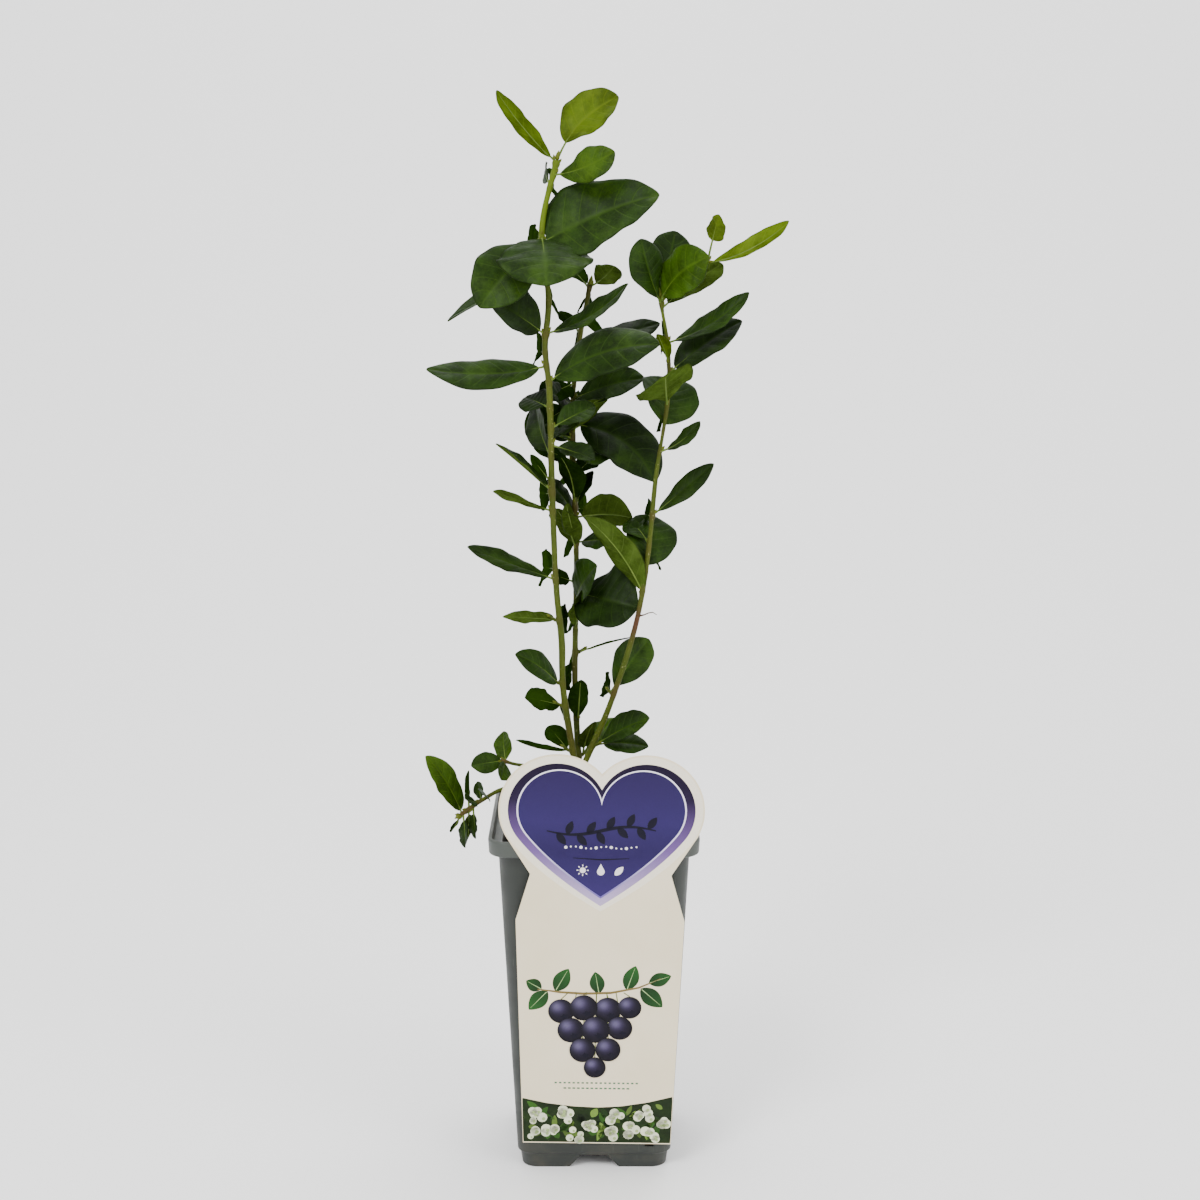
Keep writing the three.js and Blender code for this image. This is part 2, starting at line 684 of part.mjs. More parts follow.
// ---------------------------------------------------------------- leaves
// A leaf's frame: where it points, and its blade's left side and upper face.
function leafFrame({ bearing, rise, lean = 0 }) {
  const b = rad(bearing);
  const r = rad(rise);
  const along = new THREE.Vector3(Math.cos(r) * Math.cos(b), Math.cos(r) * Math.sin(b), Math.sin(r));
  const level = new THREE.Vector3(-Math.sin(b), Math.cos(b), 0);
  const roll = rad(lean) * (Math.cos(b) >= 0 ? 1 : -1);
  const side = level.applyAxisAngle(along, roll);
  return { along, side, face: new THREE.Vector3().crossVectors(along, side) };
}

const bladeWidth = (share, widest) => Math.sin(Math.PI * share ** widest) ** LEAF.fullness;

function leafSolid(root, leaf) {
  const { along, side, face } = leafFrame(leaf);
  const { length, droop = 0, sweep = 0, stalk = LEAF.stalk, widest = LEAF.widest } = leaf;
  const { width = length * LEAF.widthShare } = leaf;
  const half = (length * LEAF.thicknessShare) / 2;
  const blade = LEAF.stations.map((share) => stalk + share * (length - stalk));
  const rings = [];
  const place = root.clone();
  let reached = 0;
  const turnAt = (distance) => {
    const bend = -rad(droop) * (distance / length - 0.5);
    const yaw = rad(sweep) * (distance / length - 0.5);
    const way = along.clone().multiplyScalar(Math.cos(bend) * Math.cos(yaw));
    way.addScaledVector(side, Math.cos(bend) * Math.sin(yaw));
    return way.addScaledVector(face, Math.sin(bend));
  };
  for (const distance of [0, stalk, ...blade, length]) {
    place.addScaledVector(turnAt((reached + distance) / 2), distance - reached);
    reached = distance;
    if (distance === length) break;
    const way = turnAt(distance);
    const across = side.clone().addScaledVector(way, -side.dot(way)).normalize();
    const up = new THREE.Vector3().crossVectors(way, across);
    const share = (distance - stalk) / (length - stalk);
    const onBlade = distance > stalk;
    const reach = LEAF.stalkRadius + (onBlade ? (width / 2) * bladeWidth(share, widest) : 0);
    const lift = onBlade ? rad(LEAF.fold) : 0;
    const thick = onBlade ? half : LEAF.stalkRadius;
    const corner = (x, z) => place.clone().addScaledVector(across, x).addScaledVector(up, z);
    rings.push([
      corner(reach * Math.cos(lift), reach * Math.sin(lift)),
      corner(0, thick),
      corner(-reach * Math.cos(lift), reach * Math.sin(lift)),
      corner(0, -thick),
    ]);
  }
  return solidOf(loft(rings, place));
}

// A small seeded generator, so that every build gives the same bush.
function seeded(seed) {
  let state = seed >>> 0;
  return () => {
    state = (Math.imul(state, 1664525) + 1013904223) >>> 0;
    return state / 4294967296;
  };
}
const random = seeded(SEED);
const about = (value, spread) => value + spread * (2 * random() - 1);

// The seeded leaves that fill the far side of a leafy length. The lower ones hang more.
function backLeaves({ from, to, back = 0, facing = BACK.bearing }) {
  const rows = [];
  for (let i = 0; i < back; i += 1) {
    const height = from + ((i + 0.5) / back) * (to - from);
    const fan = (i % 2 === 0 ? 1 : -1) * BACK.fan;
    const hang = THREE.MathUtils.mapLinear(height, BACK.low, BACK.high, BACK.hang, 0);
    rows.push({
      height,
      bearing: about(facing + fan, BACK.spread.bearing),
      rise: about(-hang, BACK.spread.rise),
      length: about(BACK.length, BACK.spread.length),
      lean: about(BACK.lean, BACK.spread.lean),
      droop: 8,
    });
  }
  return rows;
}

function addBud(solid, cane, length) {
  const tip = cane.curve.getPointAt(1);
  const way = cane.curve.getTangentAt(1);
  const rings = [[-1.5, 0.6], [length * 0.35, 1.15], [length * 0.7, 0.75], [length, 0.15]].map(
    ([distance, radius]) => roundRing(tip.clone().addScaledVector(way, distance), way, radius, 6),
  );
  return solid.add(solidOf(loft(rings)));
}

function buildMass(mass) {
  const cane = canes[mass.cane];
  const start = mass.from > CANES[mass.cane].knots[0][2] ? shareAt(cane, mass.from) : 0;
  const end = mass.to < CANES[mass.cane].knots.at(-1)[2] ? shareAt(cane, mass.to) : 1;
  let solid = caneStretch(cane, start + GAP / cane.length, end);
  const twig = mass.twig ? canes[mass.twig] : cane;
  if (mass.twig) solid = solid.add(caneStretch(twig, 0, 1));
  if (mass.bud) solid = addBud(solid, cane, mass.bud);
  for (const leaf of mass.leaves) {
    const share = leaf.along ?? shareAt(cane, leaf.height);
    const root = (leaf.along ? twig : cane).curve.getPointAt(share);
    solid = solid.add(leafSolid(root, leaf));
  }
  return solid;
}

// Adds a mass's back leaves, save those that would touch another piece of the bush.
function addBackLeaves(mass) {
  const cane = canes[mass.cane];
  for (const leaf of backLeaves(mass)) {
    const blade = leafSolid(cane.curve.getPointAt(shareAt(cane, leaf.height)), leaf);
    const others = [...plantSolids].filter(([name]) => name !== mass.name);
    if (others.some(([, other]) => blade.intersect(other).volume() > 0)) continue;
    plantSolids.set(mass.name, plantSolids.get(mass.name).add(blade));
  }
}

// A spray: a spur beside a bare limb, with a few leaves.
function buildSpray(spray) {
  const cane = canes[spray.cane];
  const share = shareAt(cane, spray.height);
  const out = new THREE.Vector3(Math.cos(rad(spray.bearing)), Math.sin(rad(spray.bearing)), 0);
  const along = out.clone().setZ(0.6).normalize();
  const clear = radiusAt(cane, share) + GAP + SPUR.radius * along.z;
  const root = cane.curve.getPointAt(share).addScaledVector(out, clear);
  const end = root.clone().addScaledVector(along, SPUR.length);
  const leafRoot = root.clone().addScaledVector(along, SPUR.leafAt);
  let solid = taperedRod(root, end, SPUR.radius, SPUR.radius * 0.85);
  for (const leaf of spray.leaves) solid = solid.add(leafSolid(leafRoot, leaf));
  return solid;
}

function buildShoot(name, from, leaves) {
  const cane = canes[name];
  let solid = addBud(caneStretch(cane, from + GAP / cane.length, 1), cane, 4);
  for (const leaf of leaves) solid = solid.add(leafSolid(cane.curve.getPointAt(leaf.along), leaf));
  return solid;
}

// ---------------------------------------------------------------- materials
const finish = (color, roughness) => new THREE.MeshStandardMaterial({ color, roughness, metalness: 0 });
const MATERIALS = {
  pot: () => finish(0x565a58, 0.55),
  compost: () => finish(0x3a2b20, 0.95),
  card: () => finish(0xdcd7ca, 0.4),
  wood: () => finish(0x6b5138, 0.8),
  stem: () => finish(0x8f9a50, 0.55),
  foliage: () => finish(0x3c5a26, 0.45),
};

// ---------------------------------------------------------------- assembly
const bush = new THREE.Group();
bush.name = 'blueberry_bush';

function addPiece(name, solid, material) {
  const mesh = new THREE.Mesh(geometryOf(solid), material);
  mesh.name = name;
  bush.add(mesh);
}

addPiece('pot', buildPot(), MATERIALS.pot());
addPiece('compost', buildCompost(), MATERIALS.compost());
addPiece('label_card', buildCard(), MATERIALS.card());

const plantSolids = new Map();
plantSolids.set('woody_base', buildBase());
for (const { name, cane, to } of LIMBS) {
  plantSolids.set(name, caneStretch(canes[cane], 0, shareAt(canes[cane], to)));
}
plantSolids.set('side_stem', caneStretch(canes.side, 0, SIDE_STEM_SHARE));
const limbNames = new Set(plantSolids.keys());
plantSolids.set('side_leaves', buildShoot('side', SIDE_STEM_SHARE, SIDE_LEAVES));
plantSolids.set('second_shoot_leaves', buildShoot('second', 0, SECOND_LEAVES));
for (const spray of SPRAYS) plantSolids.set(spray.name, buildSpray(spray));
for (const mass of MASSES) plantSolids.set(mass.name, buildMass(mass));
for (const mass of MASSES) addBackLeaves(mass);

for (const [name, solid] of plantSolids) {
  if (name === 'woody_base') addPiece(name, solid, MATERIALS.wood());
  else addPiece(name, solid, limbNames.has(name) ? MATERIALS.stem() : MATERIALS.foliage());
}

export default bush;
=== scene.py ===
"""A young blueberry bush in a square nursery pot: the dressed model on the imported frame."""

import math
import random

import bmesh
import bpy

import numpy as np
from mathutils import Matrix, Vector, noise as field
from mathutils.bvhtree import BVHTree


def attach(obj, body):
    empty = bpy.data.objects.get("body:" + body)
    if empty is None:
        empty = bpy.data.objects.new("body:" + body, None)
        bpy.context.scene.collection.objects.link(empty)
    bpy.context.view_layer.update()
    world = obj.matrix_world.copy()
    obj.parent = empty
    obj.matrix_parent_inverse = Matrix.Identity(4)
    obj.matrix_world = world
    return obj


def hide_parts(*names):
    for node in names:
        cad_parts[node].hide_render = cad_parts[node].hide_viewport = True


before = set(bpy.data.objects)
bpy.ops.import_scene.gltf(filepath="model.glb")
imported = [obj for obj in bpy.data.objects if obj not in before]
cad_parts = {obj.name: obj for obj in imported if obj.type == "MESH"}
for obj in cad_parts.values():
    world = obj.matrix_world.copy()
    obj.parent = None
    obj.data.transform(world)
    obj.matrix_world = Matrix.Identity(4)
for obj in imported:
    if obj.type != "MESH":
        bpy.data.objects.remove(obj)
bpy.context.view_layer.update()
MM = 0.001

# ------------------------------------------------------------------ sizes, as in the source
SEED = 4127
LEAF_SEED, BARK_SEED, COMPOST_SEED, ART_SEED = 11, 5, 23, 31

POT_HEIGHT = 179
RIM_HALF = 53
COLLAR_HEIGHT = 8.4
BODY_TOP_HALF = 48
BODY_FOOT_HALF = 39.6
SKIRT_HEIGHT = 7.6
SKIRT_TOP_HALF = 38.3
SKIRT_FOOT_HALF = 37.3
WALL = 1.5
FLOOR_UNDER = 5.6
FLOOR_TOP = 7.4
BOSS_RADIUS = 6
POT_CORNER = 8
NOTCH_FOOT, NOTCH_TOP, NOTCH_HEIGHT = 25.6, 13.8, 6.8
DRAIN_RADIUS, DRAIN_RING, DRAIN_COUNT = 3.2, 24, 8
SLOT_WIDTH, SLOT_HEIGHT, SLOT_ASIDE, SLOT_UP = 4.6, 3.6, 28.4, 14.2
COMPOST_TOP = 165

CARD_THICK = 0.6
CARD_FOOT = 14.6
CARD_FOOT_HALF = 38
CARD_SHOULDER, CARD_SHOULDER_HALF = 138, 42.2
CARD_NECK, CARD_NECK_HALF = 162.7, 35.1
LOBE_RADIUS, LOBE_ASIDE, LOBE_HEIGHT = 29, 21.9, 196.5
CARD_ASIDE = 1.3
CARD_LEAN = 0.8

BASE_AT = (-6, 2)
BASE_FLARE, BASE_RADIUS, BASE_RISE = 6.2, 4, 28

GAP = 0.3
LEAF_STALK = 4
LEAF_WIDTH_SHARE = 0.45
LEAF_FOLD = 8
LEAF_WIDEST = 1.05
LEAF_FULLNESS = 0.6
LEAF_STATIONS = (0.1, 0.28, 0.5, 0.72, 0.9)

CANES = {
  "left": {
    "knots": [
      [-9.5, -1.5, 203], [-15.9, -8, 248], [-16.4, -10, 272], [-18.8, -12, 297], [-21, -13, 352],
      [-22.2, -10, 400], [-24.2, -8.6, 420], [-22.4, -7, 443], [-25.6, -5, 478], [-18.2, -4, 511],
    ],
    "foot": 1.7,
    "tip": 1.4,
  },
  "middle": {
    "knots": [
      [-8, 5.5, 203], [-10, 13, 245], [-9.2, 19, 310], [-10.6, 20, 360],
      [-10.8, 19, 392], [-7.4, 17, 422], [-2, 15.5, 450],
    ],
    "foot": 1.6,
    "tip": 1.1,
  },
  "right": {
    "knots": [
      [-4.8, -0.3, 206], [8, -3, 237], [21.4, -7, 281], [27.4, -8, 318],
      [31, -7, 355], [37.2, -3.5, 398], [36.7, -2, 421], [33, 0, 443],
    ],
    "foot": 1.6,
    "tip": 0.9,
  },
  "right_twig": { "knots": [[33, 0, 442], [45, 2.5, 454], [57, 4, 462]], "foot": 0.9, "tip": 0.7 },
  "side": {
    "knots": [[-11, -1.5, 181], [-28, -3, 190], [-46, -4, 193], [-58, -4.5, 187], [-69, -5, 179.5]],
    "foot": 1.4,
    "tip": 0.8,
  },
  "second": {
    "knots": [[-12, 5, 192], [-28, 10, 200], [-42, 12, 202], [-49, 12, 204]],
    "foot": 1.2,
    "tip": 0.8,
  },
}
def leaf(bearing, rise, length, width=None, **more):
    """A row for one leaf. Without a width it gets the usual share of its length."""
    sized = {} if width is None else {"width": width}
    return {"bearing": bearing, "rise": rise, "length": length, **sized, **more}


def at(height, *place, **more):
    """A leaf at a height on its cane."""
    return {"height": height, **leaf(*place, **more)}


def on(share, *place, **more):
    """A leaf at a share of its shoot's length."""
    return {"along": share, **leaf(*place, **more)}


def spray(name, height, bearing, *leaves):
    cane = name.split("_")[0]
    return {"name": name, "cane": cane, "height": height, "bearing": bearing, "leaves": list(leaves)}


def mass(name, low, high, *leaves, **more):
    return {"name": name, "cane": name.split("_")[0], "from": low, "to": high, "leaves": list(leaves), **more}


SPUR = {"radius": 0.8, "length": 3.5, "leafAt": 0.5}  # leafAt is along it, from its root
SPRAYS = [
    spray("left_spray_1", 213, 160,
        leaf(168, 8, 28, 8, stalk=1, droop=-30),
        leaf(122, 22, 22, 11, stalk=1, lean=20, droop=20),
    ),
    spray("middle_spray_1", 208, 30,
        leaf(15, 45, 26, 16, lean=20, droop=30),
        leaf(300, 60, 23, 12, lean=15, droop=30),
    ),
    spray("left_spray_2", 238, 200,
        leaf(214, 17, 22, 15, stalk=0.5, lean=40, sweep=10),
        leaf(86, -26, 32, 12, lean=85),
    ),
    spray("left_spray_3", 250, 195,
        leaf(206, 36, 29, 17, stalk=0.5, widest=0.75, lean=45, droop=20, sweep=20),
        leaf(80, -4, 38, 14, lean=85),
    ),
    spray("left_spray_4", 283, 165,
        leaf(168, 1, 27, 12, stalk=0.5, widest=0.7, lean=20),
        leaf(80, -10, 36, lean=85),
    ),
    spray("middle_spray_2", 227, 285,
        leaf(284, 74, 23, 13, stalk=1, widest=1.2, lean=10),
    ),
    spray("middle_spray_3", 261, 20,
        leaf(348, 18, 29, 5, droop=10),
        leaf(96, -12, 38, lean=85),
    ),
    spray("right_spray_1", 216, 310,
        leaf(337, 30, 34, 18, lean=40, droop=20),
        leaf(344, 2, 28, 14, lean=30, droop=30),
    ),
    spray("right_spray_2", 243, 130,
        leaf(28, 49, 35, 20, widest=1.25, lean=75, droop=30, sweep=-20),
        leaf(95, 0, 30, lean=70),
    ),
]

# The leafy lengths of the canes, from the foot up. back is how many seeded leaves fill
# the far side of a length, facing is where they point on the whole, and bud is the
# length of the bud at a growing tip.
MASSES = [
    mass("left_leaves_1", 300, 357,
        at(304, 188, 22, 48, 13, lean=30, droop=-15, sweep=15),
        at(339, 199, 20, 33, 13, lean=15, droop=-10, sweep=15),
        at(349, 188, 41, 37, 14, lean=10, droop=5),
        at(353, 145, 45, 19, 7, lean=90, droop=10),
        back=3, facing=92,
    ),
    mass("left_leaves_2", 357, 405,
        at(366, 112, 50, 34, 18, lean=75, droop=30),
        at(372, 340, -15, 24, 14, lean=30, droop=10),
        at(380, 20, 25, 26, 14, lean=40, droop=15),
        at(390, 132, 13, 20, 18, lean=35, droop=20),
        at(403, 344, 19, 61, 31, lean=50, droop=25, sweep=-30),
        back=3, facing=92,
    ),
    mass("left_leaves_3", 405, 455,
        at(411, 186, -1, 60, 21, lean=45, droop=-15, sweep=-20),
        at(426, 196, 33, 34, 27, lean=55, droop=20),
        at(427, 349, 31, 49, 14, lean=40, droop=-20, sweep=35),
        back=2, facing=92,
    ),
    mass("left_leaves_4", 455, 511,
        at(458, 160, -26, 59, 17, lean=35, droop=10),
        at(470, 212, -40, 47, 31, lean=45, droop=30, sweep=15),
        at(474, 276, -38, 38, 46, droop=40),
        at(471, 352, 22, 63, 39, stalk=3, widest=0.65, lean=60, droop=20, sweep=-8),
        at(499, 98, 30, 20, 10, lean=80, droop=30),
        at(504, 334, 18, 36, 19, widest=1.5, lean=70, droop=20, sweep=40),
        at(509, 12, 46, 47, 25, stalk=12, lean=45, droop=15, sweep=-50),
        at(510, 196, 49, 46, 16, lean=-20, droop=10, sweep=40),
        back=2, bud=5, facing=92,
    ),
    mass("middle_leaves_1", 268, 310,
        at(272, 290, 64, 27, 16, lean=40, droop=20),
        at(287, 304, 49, 30, 24, lean=80, droop=40),
        at(292, 327, -6, 39, 38, lean=45, droop=40, sweep=20),
        at(297, 195, 20, 14, 12, lean=40, droop=20),
        back=2,
    ),
    mass("middle_leaves_2", 310, 362,
        at(314, 238, 52, 31, 18, droop=30),
        at(318, 330, 7, 26, 18, lean=30, droop=20),
        at(319, 256, 47, 30, 10, lean=-70, droop=10),
        at(330, 190, 55, 26, 16, lean=30, droop=30),
        at(331, 338, 3, 32, 24, lean=-50, droop=30, sweep=10),
        at(336, 60, 45, 25, 10, droop=20),
        at(338, 248, 55, 34, 18, lean=20, droop=40),
        at(352, 51, 26, 26, 18, droop=20),
        at(360, 190, 20, 22, 14, lean=30, droop=20),
        back=3,
    ),
    mass("middle_leaves_3", 362, 412,
        at(366, 335, -4, 23, 17, lean=45, droop=20),
        at(368, 170, 45, 24, 18, lean=40, droop=20),
        at(372, 215, 10, 24, 16, lean=30, droop=20),
        at(374, 301, 38, 33, 24, droop=40),
        at(379, 341, -32, 55, 32, widest=0.9, lean=40, droop=30, sweep=-60),
        at(384, 250, -20, 26, 18, droop=20),
        at(387, 240, 23, 27, 19, lean=60, droop=40),
        at(389, 208, -28, 30, 20, lean=35, droop=20),
        at(392, 339, 17, 41, 22, lean=50, droop=30),
        at(400, 232, -14, 26, 18, lean=30, droop=20),
        back=3,
    ),
    mass("middle_leaves_4", 412, 450,
        at(416, 16, 18, 46, 16, lean=30, droop=10),
        at(425, 128, 33, 21, 10, droop=20),
        at(437, 75, 32, 13, 8, lean=90, droop=20),
        at(449, 42, 32, 20, 15, lean=35, droop=20, sweep=40),
        at(448, 130, 32, 25, 14, droop=20),
        back=3, bud=5,
    ),
    mass("right_leaves_1", 290, 345,
        at(297, 195, 53, 50, 20, stalk=1, lean=-40, droop=20, sweep=-20),
        at(307, 81, 53, 34, 28, lean=30, droop=40),
        at(321, 123, 29, 22, 16, lean=10, droop=40),
        at(336, 349, 41, 41, 13, lean=45, droop=-10, sweep=-5),
        back=3, facing=92,
    ),
    mass("right_leaves_2", 345, 400,
        at(368, 354, 38, 26, 10, lean=35, droop=-15, sweep=45),
        at(378, 84, 49, 34, 32, lean=30, droop=30),
        at(391, 266, 33, 31, 32, widest=1.5, lean=-25, droop=10),
        back=2, facing=92,
    ),
    mass("right_leaves_3", 400, 432,
        at(407, 8, 35, 45, 23, lean=40, droop=10, sweep=-10),
        at(411, 227, 62, 18, 10, lean=10, droop=20),
        at(422, 354, 32, 48, 15, lean=35, droop=-20, sweep=25),
        back=2, facing=92,
    ),
    mass("right_leaves_4", 432, 443,
        at(439, 18, 34, 39, 22, lean=25, droop=20, sweep=10),
        at(441, 224, 66, 36, 22, widest=1.5, lean=90, droop=20, sweep=-35),
        at(441, 65, 64, 40, 22, widest=1.5, lean=30, droop=20),
        at(442, 322, 38, 38, 25, lean=80, droop=40, sweep=-30),
        on(0.95, 357, 27, 47, 13, lean=-35, droop=-10, sweep=-45),
        on(0.98, 46, 70, 25, 12, stalk=11, widest=0.6, lean=80, droop=20, sweep=-20),
        bud=8, twig="right_twig",
    ),
]

# The low shoots' leaves, each placed by its share of the shoot's length.
SIDE_LEAVES = [
    on(0.99, 193, 60, 37, 15, stalk=2, widest=0.95, lean=55, droop=10, sweep=20),
    on(0.92, 94, 82, 20, 9, lean=70, droop=5),
    on(0.8, 110, 50, 11, 7, stalk=1, lean=60, droop=5),
    on(0.84, 240, 25, 12, 9, stalk=1, lean=40, droop=10),
    on(0.98, 281, -70, 18, 10, lean=65, droop=-10),
    on(0.92, 100, -66, 20, 10, lean=45),
    on(0.995, 146, -56, 13, 6),
    on(0.88, 288, -76, 17, 9, lean=70),
    on(0.745, 262, 22, 15, 9, stalk=1, lean=50, droop=10),
]
SECOND_LEAVES = [
    on(0.93, 100, 56, 17, 12, stalk=1, lean=40, droop=20),
    on(0.97, 205, -2, 18, 12, stalk=1, lean=60, droop=20),
    on(0.95, 262, -40, 12, 12, stalk=1, lean=65, droop=20),
    on(0.6, 70, -25, 30, 14, lean=60, droop=10),
]

# Seeded back leaves: how they stand, and the spread about each value.
BACK = {
  "bearing": 90,
  "fan": 5, # alternate leaves stand this far to either side
  "lean": 76,
  "hang": 15, # degrees below level at the low height, and level at the high one
  "low": 200,
  "high": 480,
  "length": 42,
  "spread": { "bearing": 4, "rise": 3, "length": 6, "lean": 12 },
}


# ------------------------------------------------------------------ small helpers
def rad(degrees):
    return math.radians(degrees)


def unit(v):
    v = np.asarray(v, float)
    return v / np.linalg.norm(v)


def lerp(a, b, share):
    return a + (b - a) * share


def smoothstep(low, high, x):
    t = np.clip((np.asarray(x, float) - low) / (high - low), 0, 1)
    return t * t * (3 - 2 * t)


def make_mesh(name, points, faces, smooth=True):
    """A mesh object from points in millimetres."""
    mesh = bpy.data.meshes.new(name)
    mesh.from_pydata([tuple(p) for p in np.asarray(points, float) * MM], [], [tuple(f) for f in faces])
    mesh.validate()
    mesh.update()
    if smooth:
        mesh.polygons.foreach_set("use_smooth", [True] * len(mesh.polygons))
    made = bpy.data.objects.new(name, mesh)
    bpy.context.scene.collection.objects.link(made)
    return made


class Builder:
    """Gathers many small closed shapes into one mesh, with a material index per face."""

    def __init__(self):
        self.points, self.faces, self.slots, self.uvs, self.tones = [], [], [], [], []
        self.count = 0

    def add(self, points, faces, slots, uvs, tone):
        points = np.asarray(points, float)
        self.points.append(points)
        self.faces += [tuple(i + self.count for i in f) for f in faces]
        self.slots += list(slots) if hasattr(slots, "__len__") else [slots] * len(faces)
        self.uvs.append(np.asarray(uvs, float))
        self.tones.append(np.full(len(points), tone))
        self.count += len(points)

    def rod(self, points, radii, sides, slot=0, tone=1.0):
        made, faces, uvs = tube(points, radii, sides)
        self.add(made, faces, slot, uvs, tone)

    def build(self, name, materials):
        made = make_mesh(name, np.concatenate(self.points), self.faces)
        for material in materials:
            made.data.materials.append(material)
        made.data.polygons.foreach_set("material_index", np.array(self.slots, np.int32))
        uvs = np.concatenate(self.uvs)
        layer = made.data.uv_layers.new(name="place")
        corners = np.zeros(len(made.data.loops), np.int32)
        made.data.loops.foreach_get("vertex_index", corners)
        layer.data.foreach_set("uv", uvs[corners].astype(np.float32).ravel())
        tone = made.data.attributes.new("tone", "FLOAT", "POINT")
        tone.data.foreach_set("value", np.concatenate(self.tones).astype(np.float32))
        return made


# ------------------------------------------------------------------ canes
class Cane:
    """A smooth curve through knots, measured along its length."""

    def __init__(self, knots, foot, tip, steps=400):
        pts = np.array(knots, float)
        pts = np.vstack([2 * pts[0] - pts[1], pts, 2 * pts[-1] - pts[-2]])
        line = []
        spans = len(pts) - 3
        for k in range(steps + 1):
            at = k / steps * spans
            i = min(int(at), spans - 1)
            line.append(self.between(pts[i : i + 4], at - i))
        self.line = np.array(line)
        ends = np.linalg.norm(np.diff(self.line, axis=0), axis=1)
        self.reach = np.concatenate([[0], np.cumsum(ends)])
        self.length = self.reach[-1]
        self.foot, self.tip = foot, tip

    @staticmethod
    def between(p, t):
        """Centripetal Catmull-Rom between the two middle points."""
        gaps = [max(float(np.linalg.norm(p[i + 1] - p[i])) ** 0.5, 1e-4) for i in range(3)]
        a, b, c = gaps
        start = ((p[1] - p[0]) / a - (p[2] - p[0]) / (a + b) + (p[2] - p[1]) / b) * b
        end = ((p[2] - p[1]) / b - (p[3] - p[1]) / (b + c) + (p[3] - p[2]) / c) * b
        two = -3 * p[1] + 3 * p[2] - 2 * start - end
        three = 2 * p[1] - 2 * p[2] + start + end
        return p[1] + start * t + two * t * t + three * t**3

    def at(self, share):
        d = np.clip(share, 0, 1) * self.length
        return np.array([np.interp(d, self.reach, self.line[:, i]) for i in range(3)])

    def way(self, share):
        step = 0.5 / self.length
        return unit(self.at(min(share + step, 1)) - self.at(max(share - step, 0)))

    def share_at(self, height):
        low, high = 0.0, 1.0
        for _ in range(30):
            middle = (low + high) / 2
            if self.at(middle)[2] < height:
                low = middle
            else:
                high = middle
        return (low + high) / 2

    def radius(self, share):
        return lerp(self.foot, self.tip, share)


canes = {name: Cane(**spec) for name, spec in CANES.items()}


def round_basis(way):
    across = np.array([0, 1, 0]) if abs(way[0]) > 0.7 else np.array([1, 0, 0])
    v = unit(np.cross(way, across))
    return np.cross(v, way), v


def side_faces(rings, count):
    """The faces between rings of count points that follow each other."""
    pairs = [(r * count + i, r * count + (i + 1) % count) for r in range(rings - 1) for i in range(count)]
    return [(a, b, b + count, a + count) for a, b in pairs]


def capped(rings, count):
    """side_faces, closed at both ends."""
    last = (rings - 1) * count
    return side_faces(rings, count) + [tuple(range(count))[::-1], tuple(range(last, last + count))]


def tube(points, radii, sides):
    """A closed tube through points: (points, faces, (share along, share round) of each)."""
    points = np.asarray(points, float)
    made, uvs = [], []
    for i, (p, w) in enumerate(zip(points, np.gradient(points, axis=0))):
        u, v = round_basis(unit(w))
        for k in range(sides):
            a = 2 * math.pi * k / sides
            r = radii[i] if np.isscalar(radii[i]) else radii[i][k]
            made.append(p + r * (math.cos(a) * u + math.sin(a) * v))
            uvs.append((i / (len(points) - 1), k / sides))
    return np.array(made), capped(len(points), sides), np.array(uvs)


# ------------------------------------------------------------------ leaves
def leaf_frame(leaf):
    b, r = rad(leaf["bearing"]), rad(leaf["rise"])
    along = np.array([math.cos(r) * math.cos(b), math.cos(r) * math.sin(b), math.sin(r)])
    level = np.array([-math.sin(b), math.cos(b), 0])
    roll = rad(leaf.get("lean", 0)) * (1 if math.cos(b) >= 0 else -1)
    side = level * math.cos(roll) + np.cross(along, level) * math.sin(roll)
    return along, side, np.cross(along, side)


def leaf_path(root, leaf, distances):
    """Places, ways, sides and upper faces of a leaf's midrib at distances from its root."""
    along, side, face = leaf_frame(leaf)
    length = leaf["length"]
    droop, sweep = rad(leaf.get("droop", 0)), rad(leaf.get("sweep", 0))

    def way(d):
        bend, yaw = -droop * (d / length - 0.5), sweep * (d / length - 0.5)
        turned = along * math.cos(bend) * math.cos(yaw)
        return unit(turned + face * math.sin(bend) + side * math.cos(bend) * math.sin(yaw))

    place, reached, rows = np.array(root, float), 0.0, []
    for d in distances:
        place = place + way((reached + d) / 2) * (d - reached)
        reached = d
        w = way(d)
        across = unit(side - w * np.dot(side, w))
        rows.append((place.copy(), w, across, np.cross(w, across)))
    return rows


def blade_width(share, widest):
    return np.maximum(np.sin(np.pi * share**widest), 0) ** LEAF_FULLNESS


VEINS = 6.5  # side veins on each half of a blade
BLADE_ROWS, BLADE_HALF = 38, 8  # faces along a blade, and across each half of it
THINNEST, THICK_SHARE = 0.32, 0.011
CUP, TWIST = 0.16, 24  # how far a blade may bow across it, and turn along it in degrees
QUILT, QUILT_FULL = 0.34, 22  # the height of the quilting, full on a blade this wide
RIB_FOOT, RIB_AT_BLADE, RIB_END, RIB_SIDES = 0.62, 0.5, 0.14, 7


def wavy(turns):
    return math.sin(math.tau * turns)


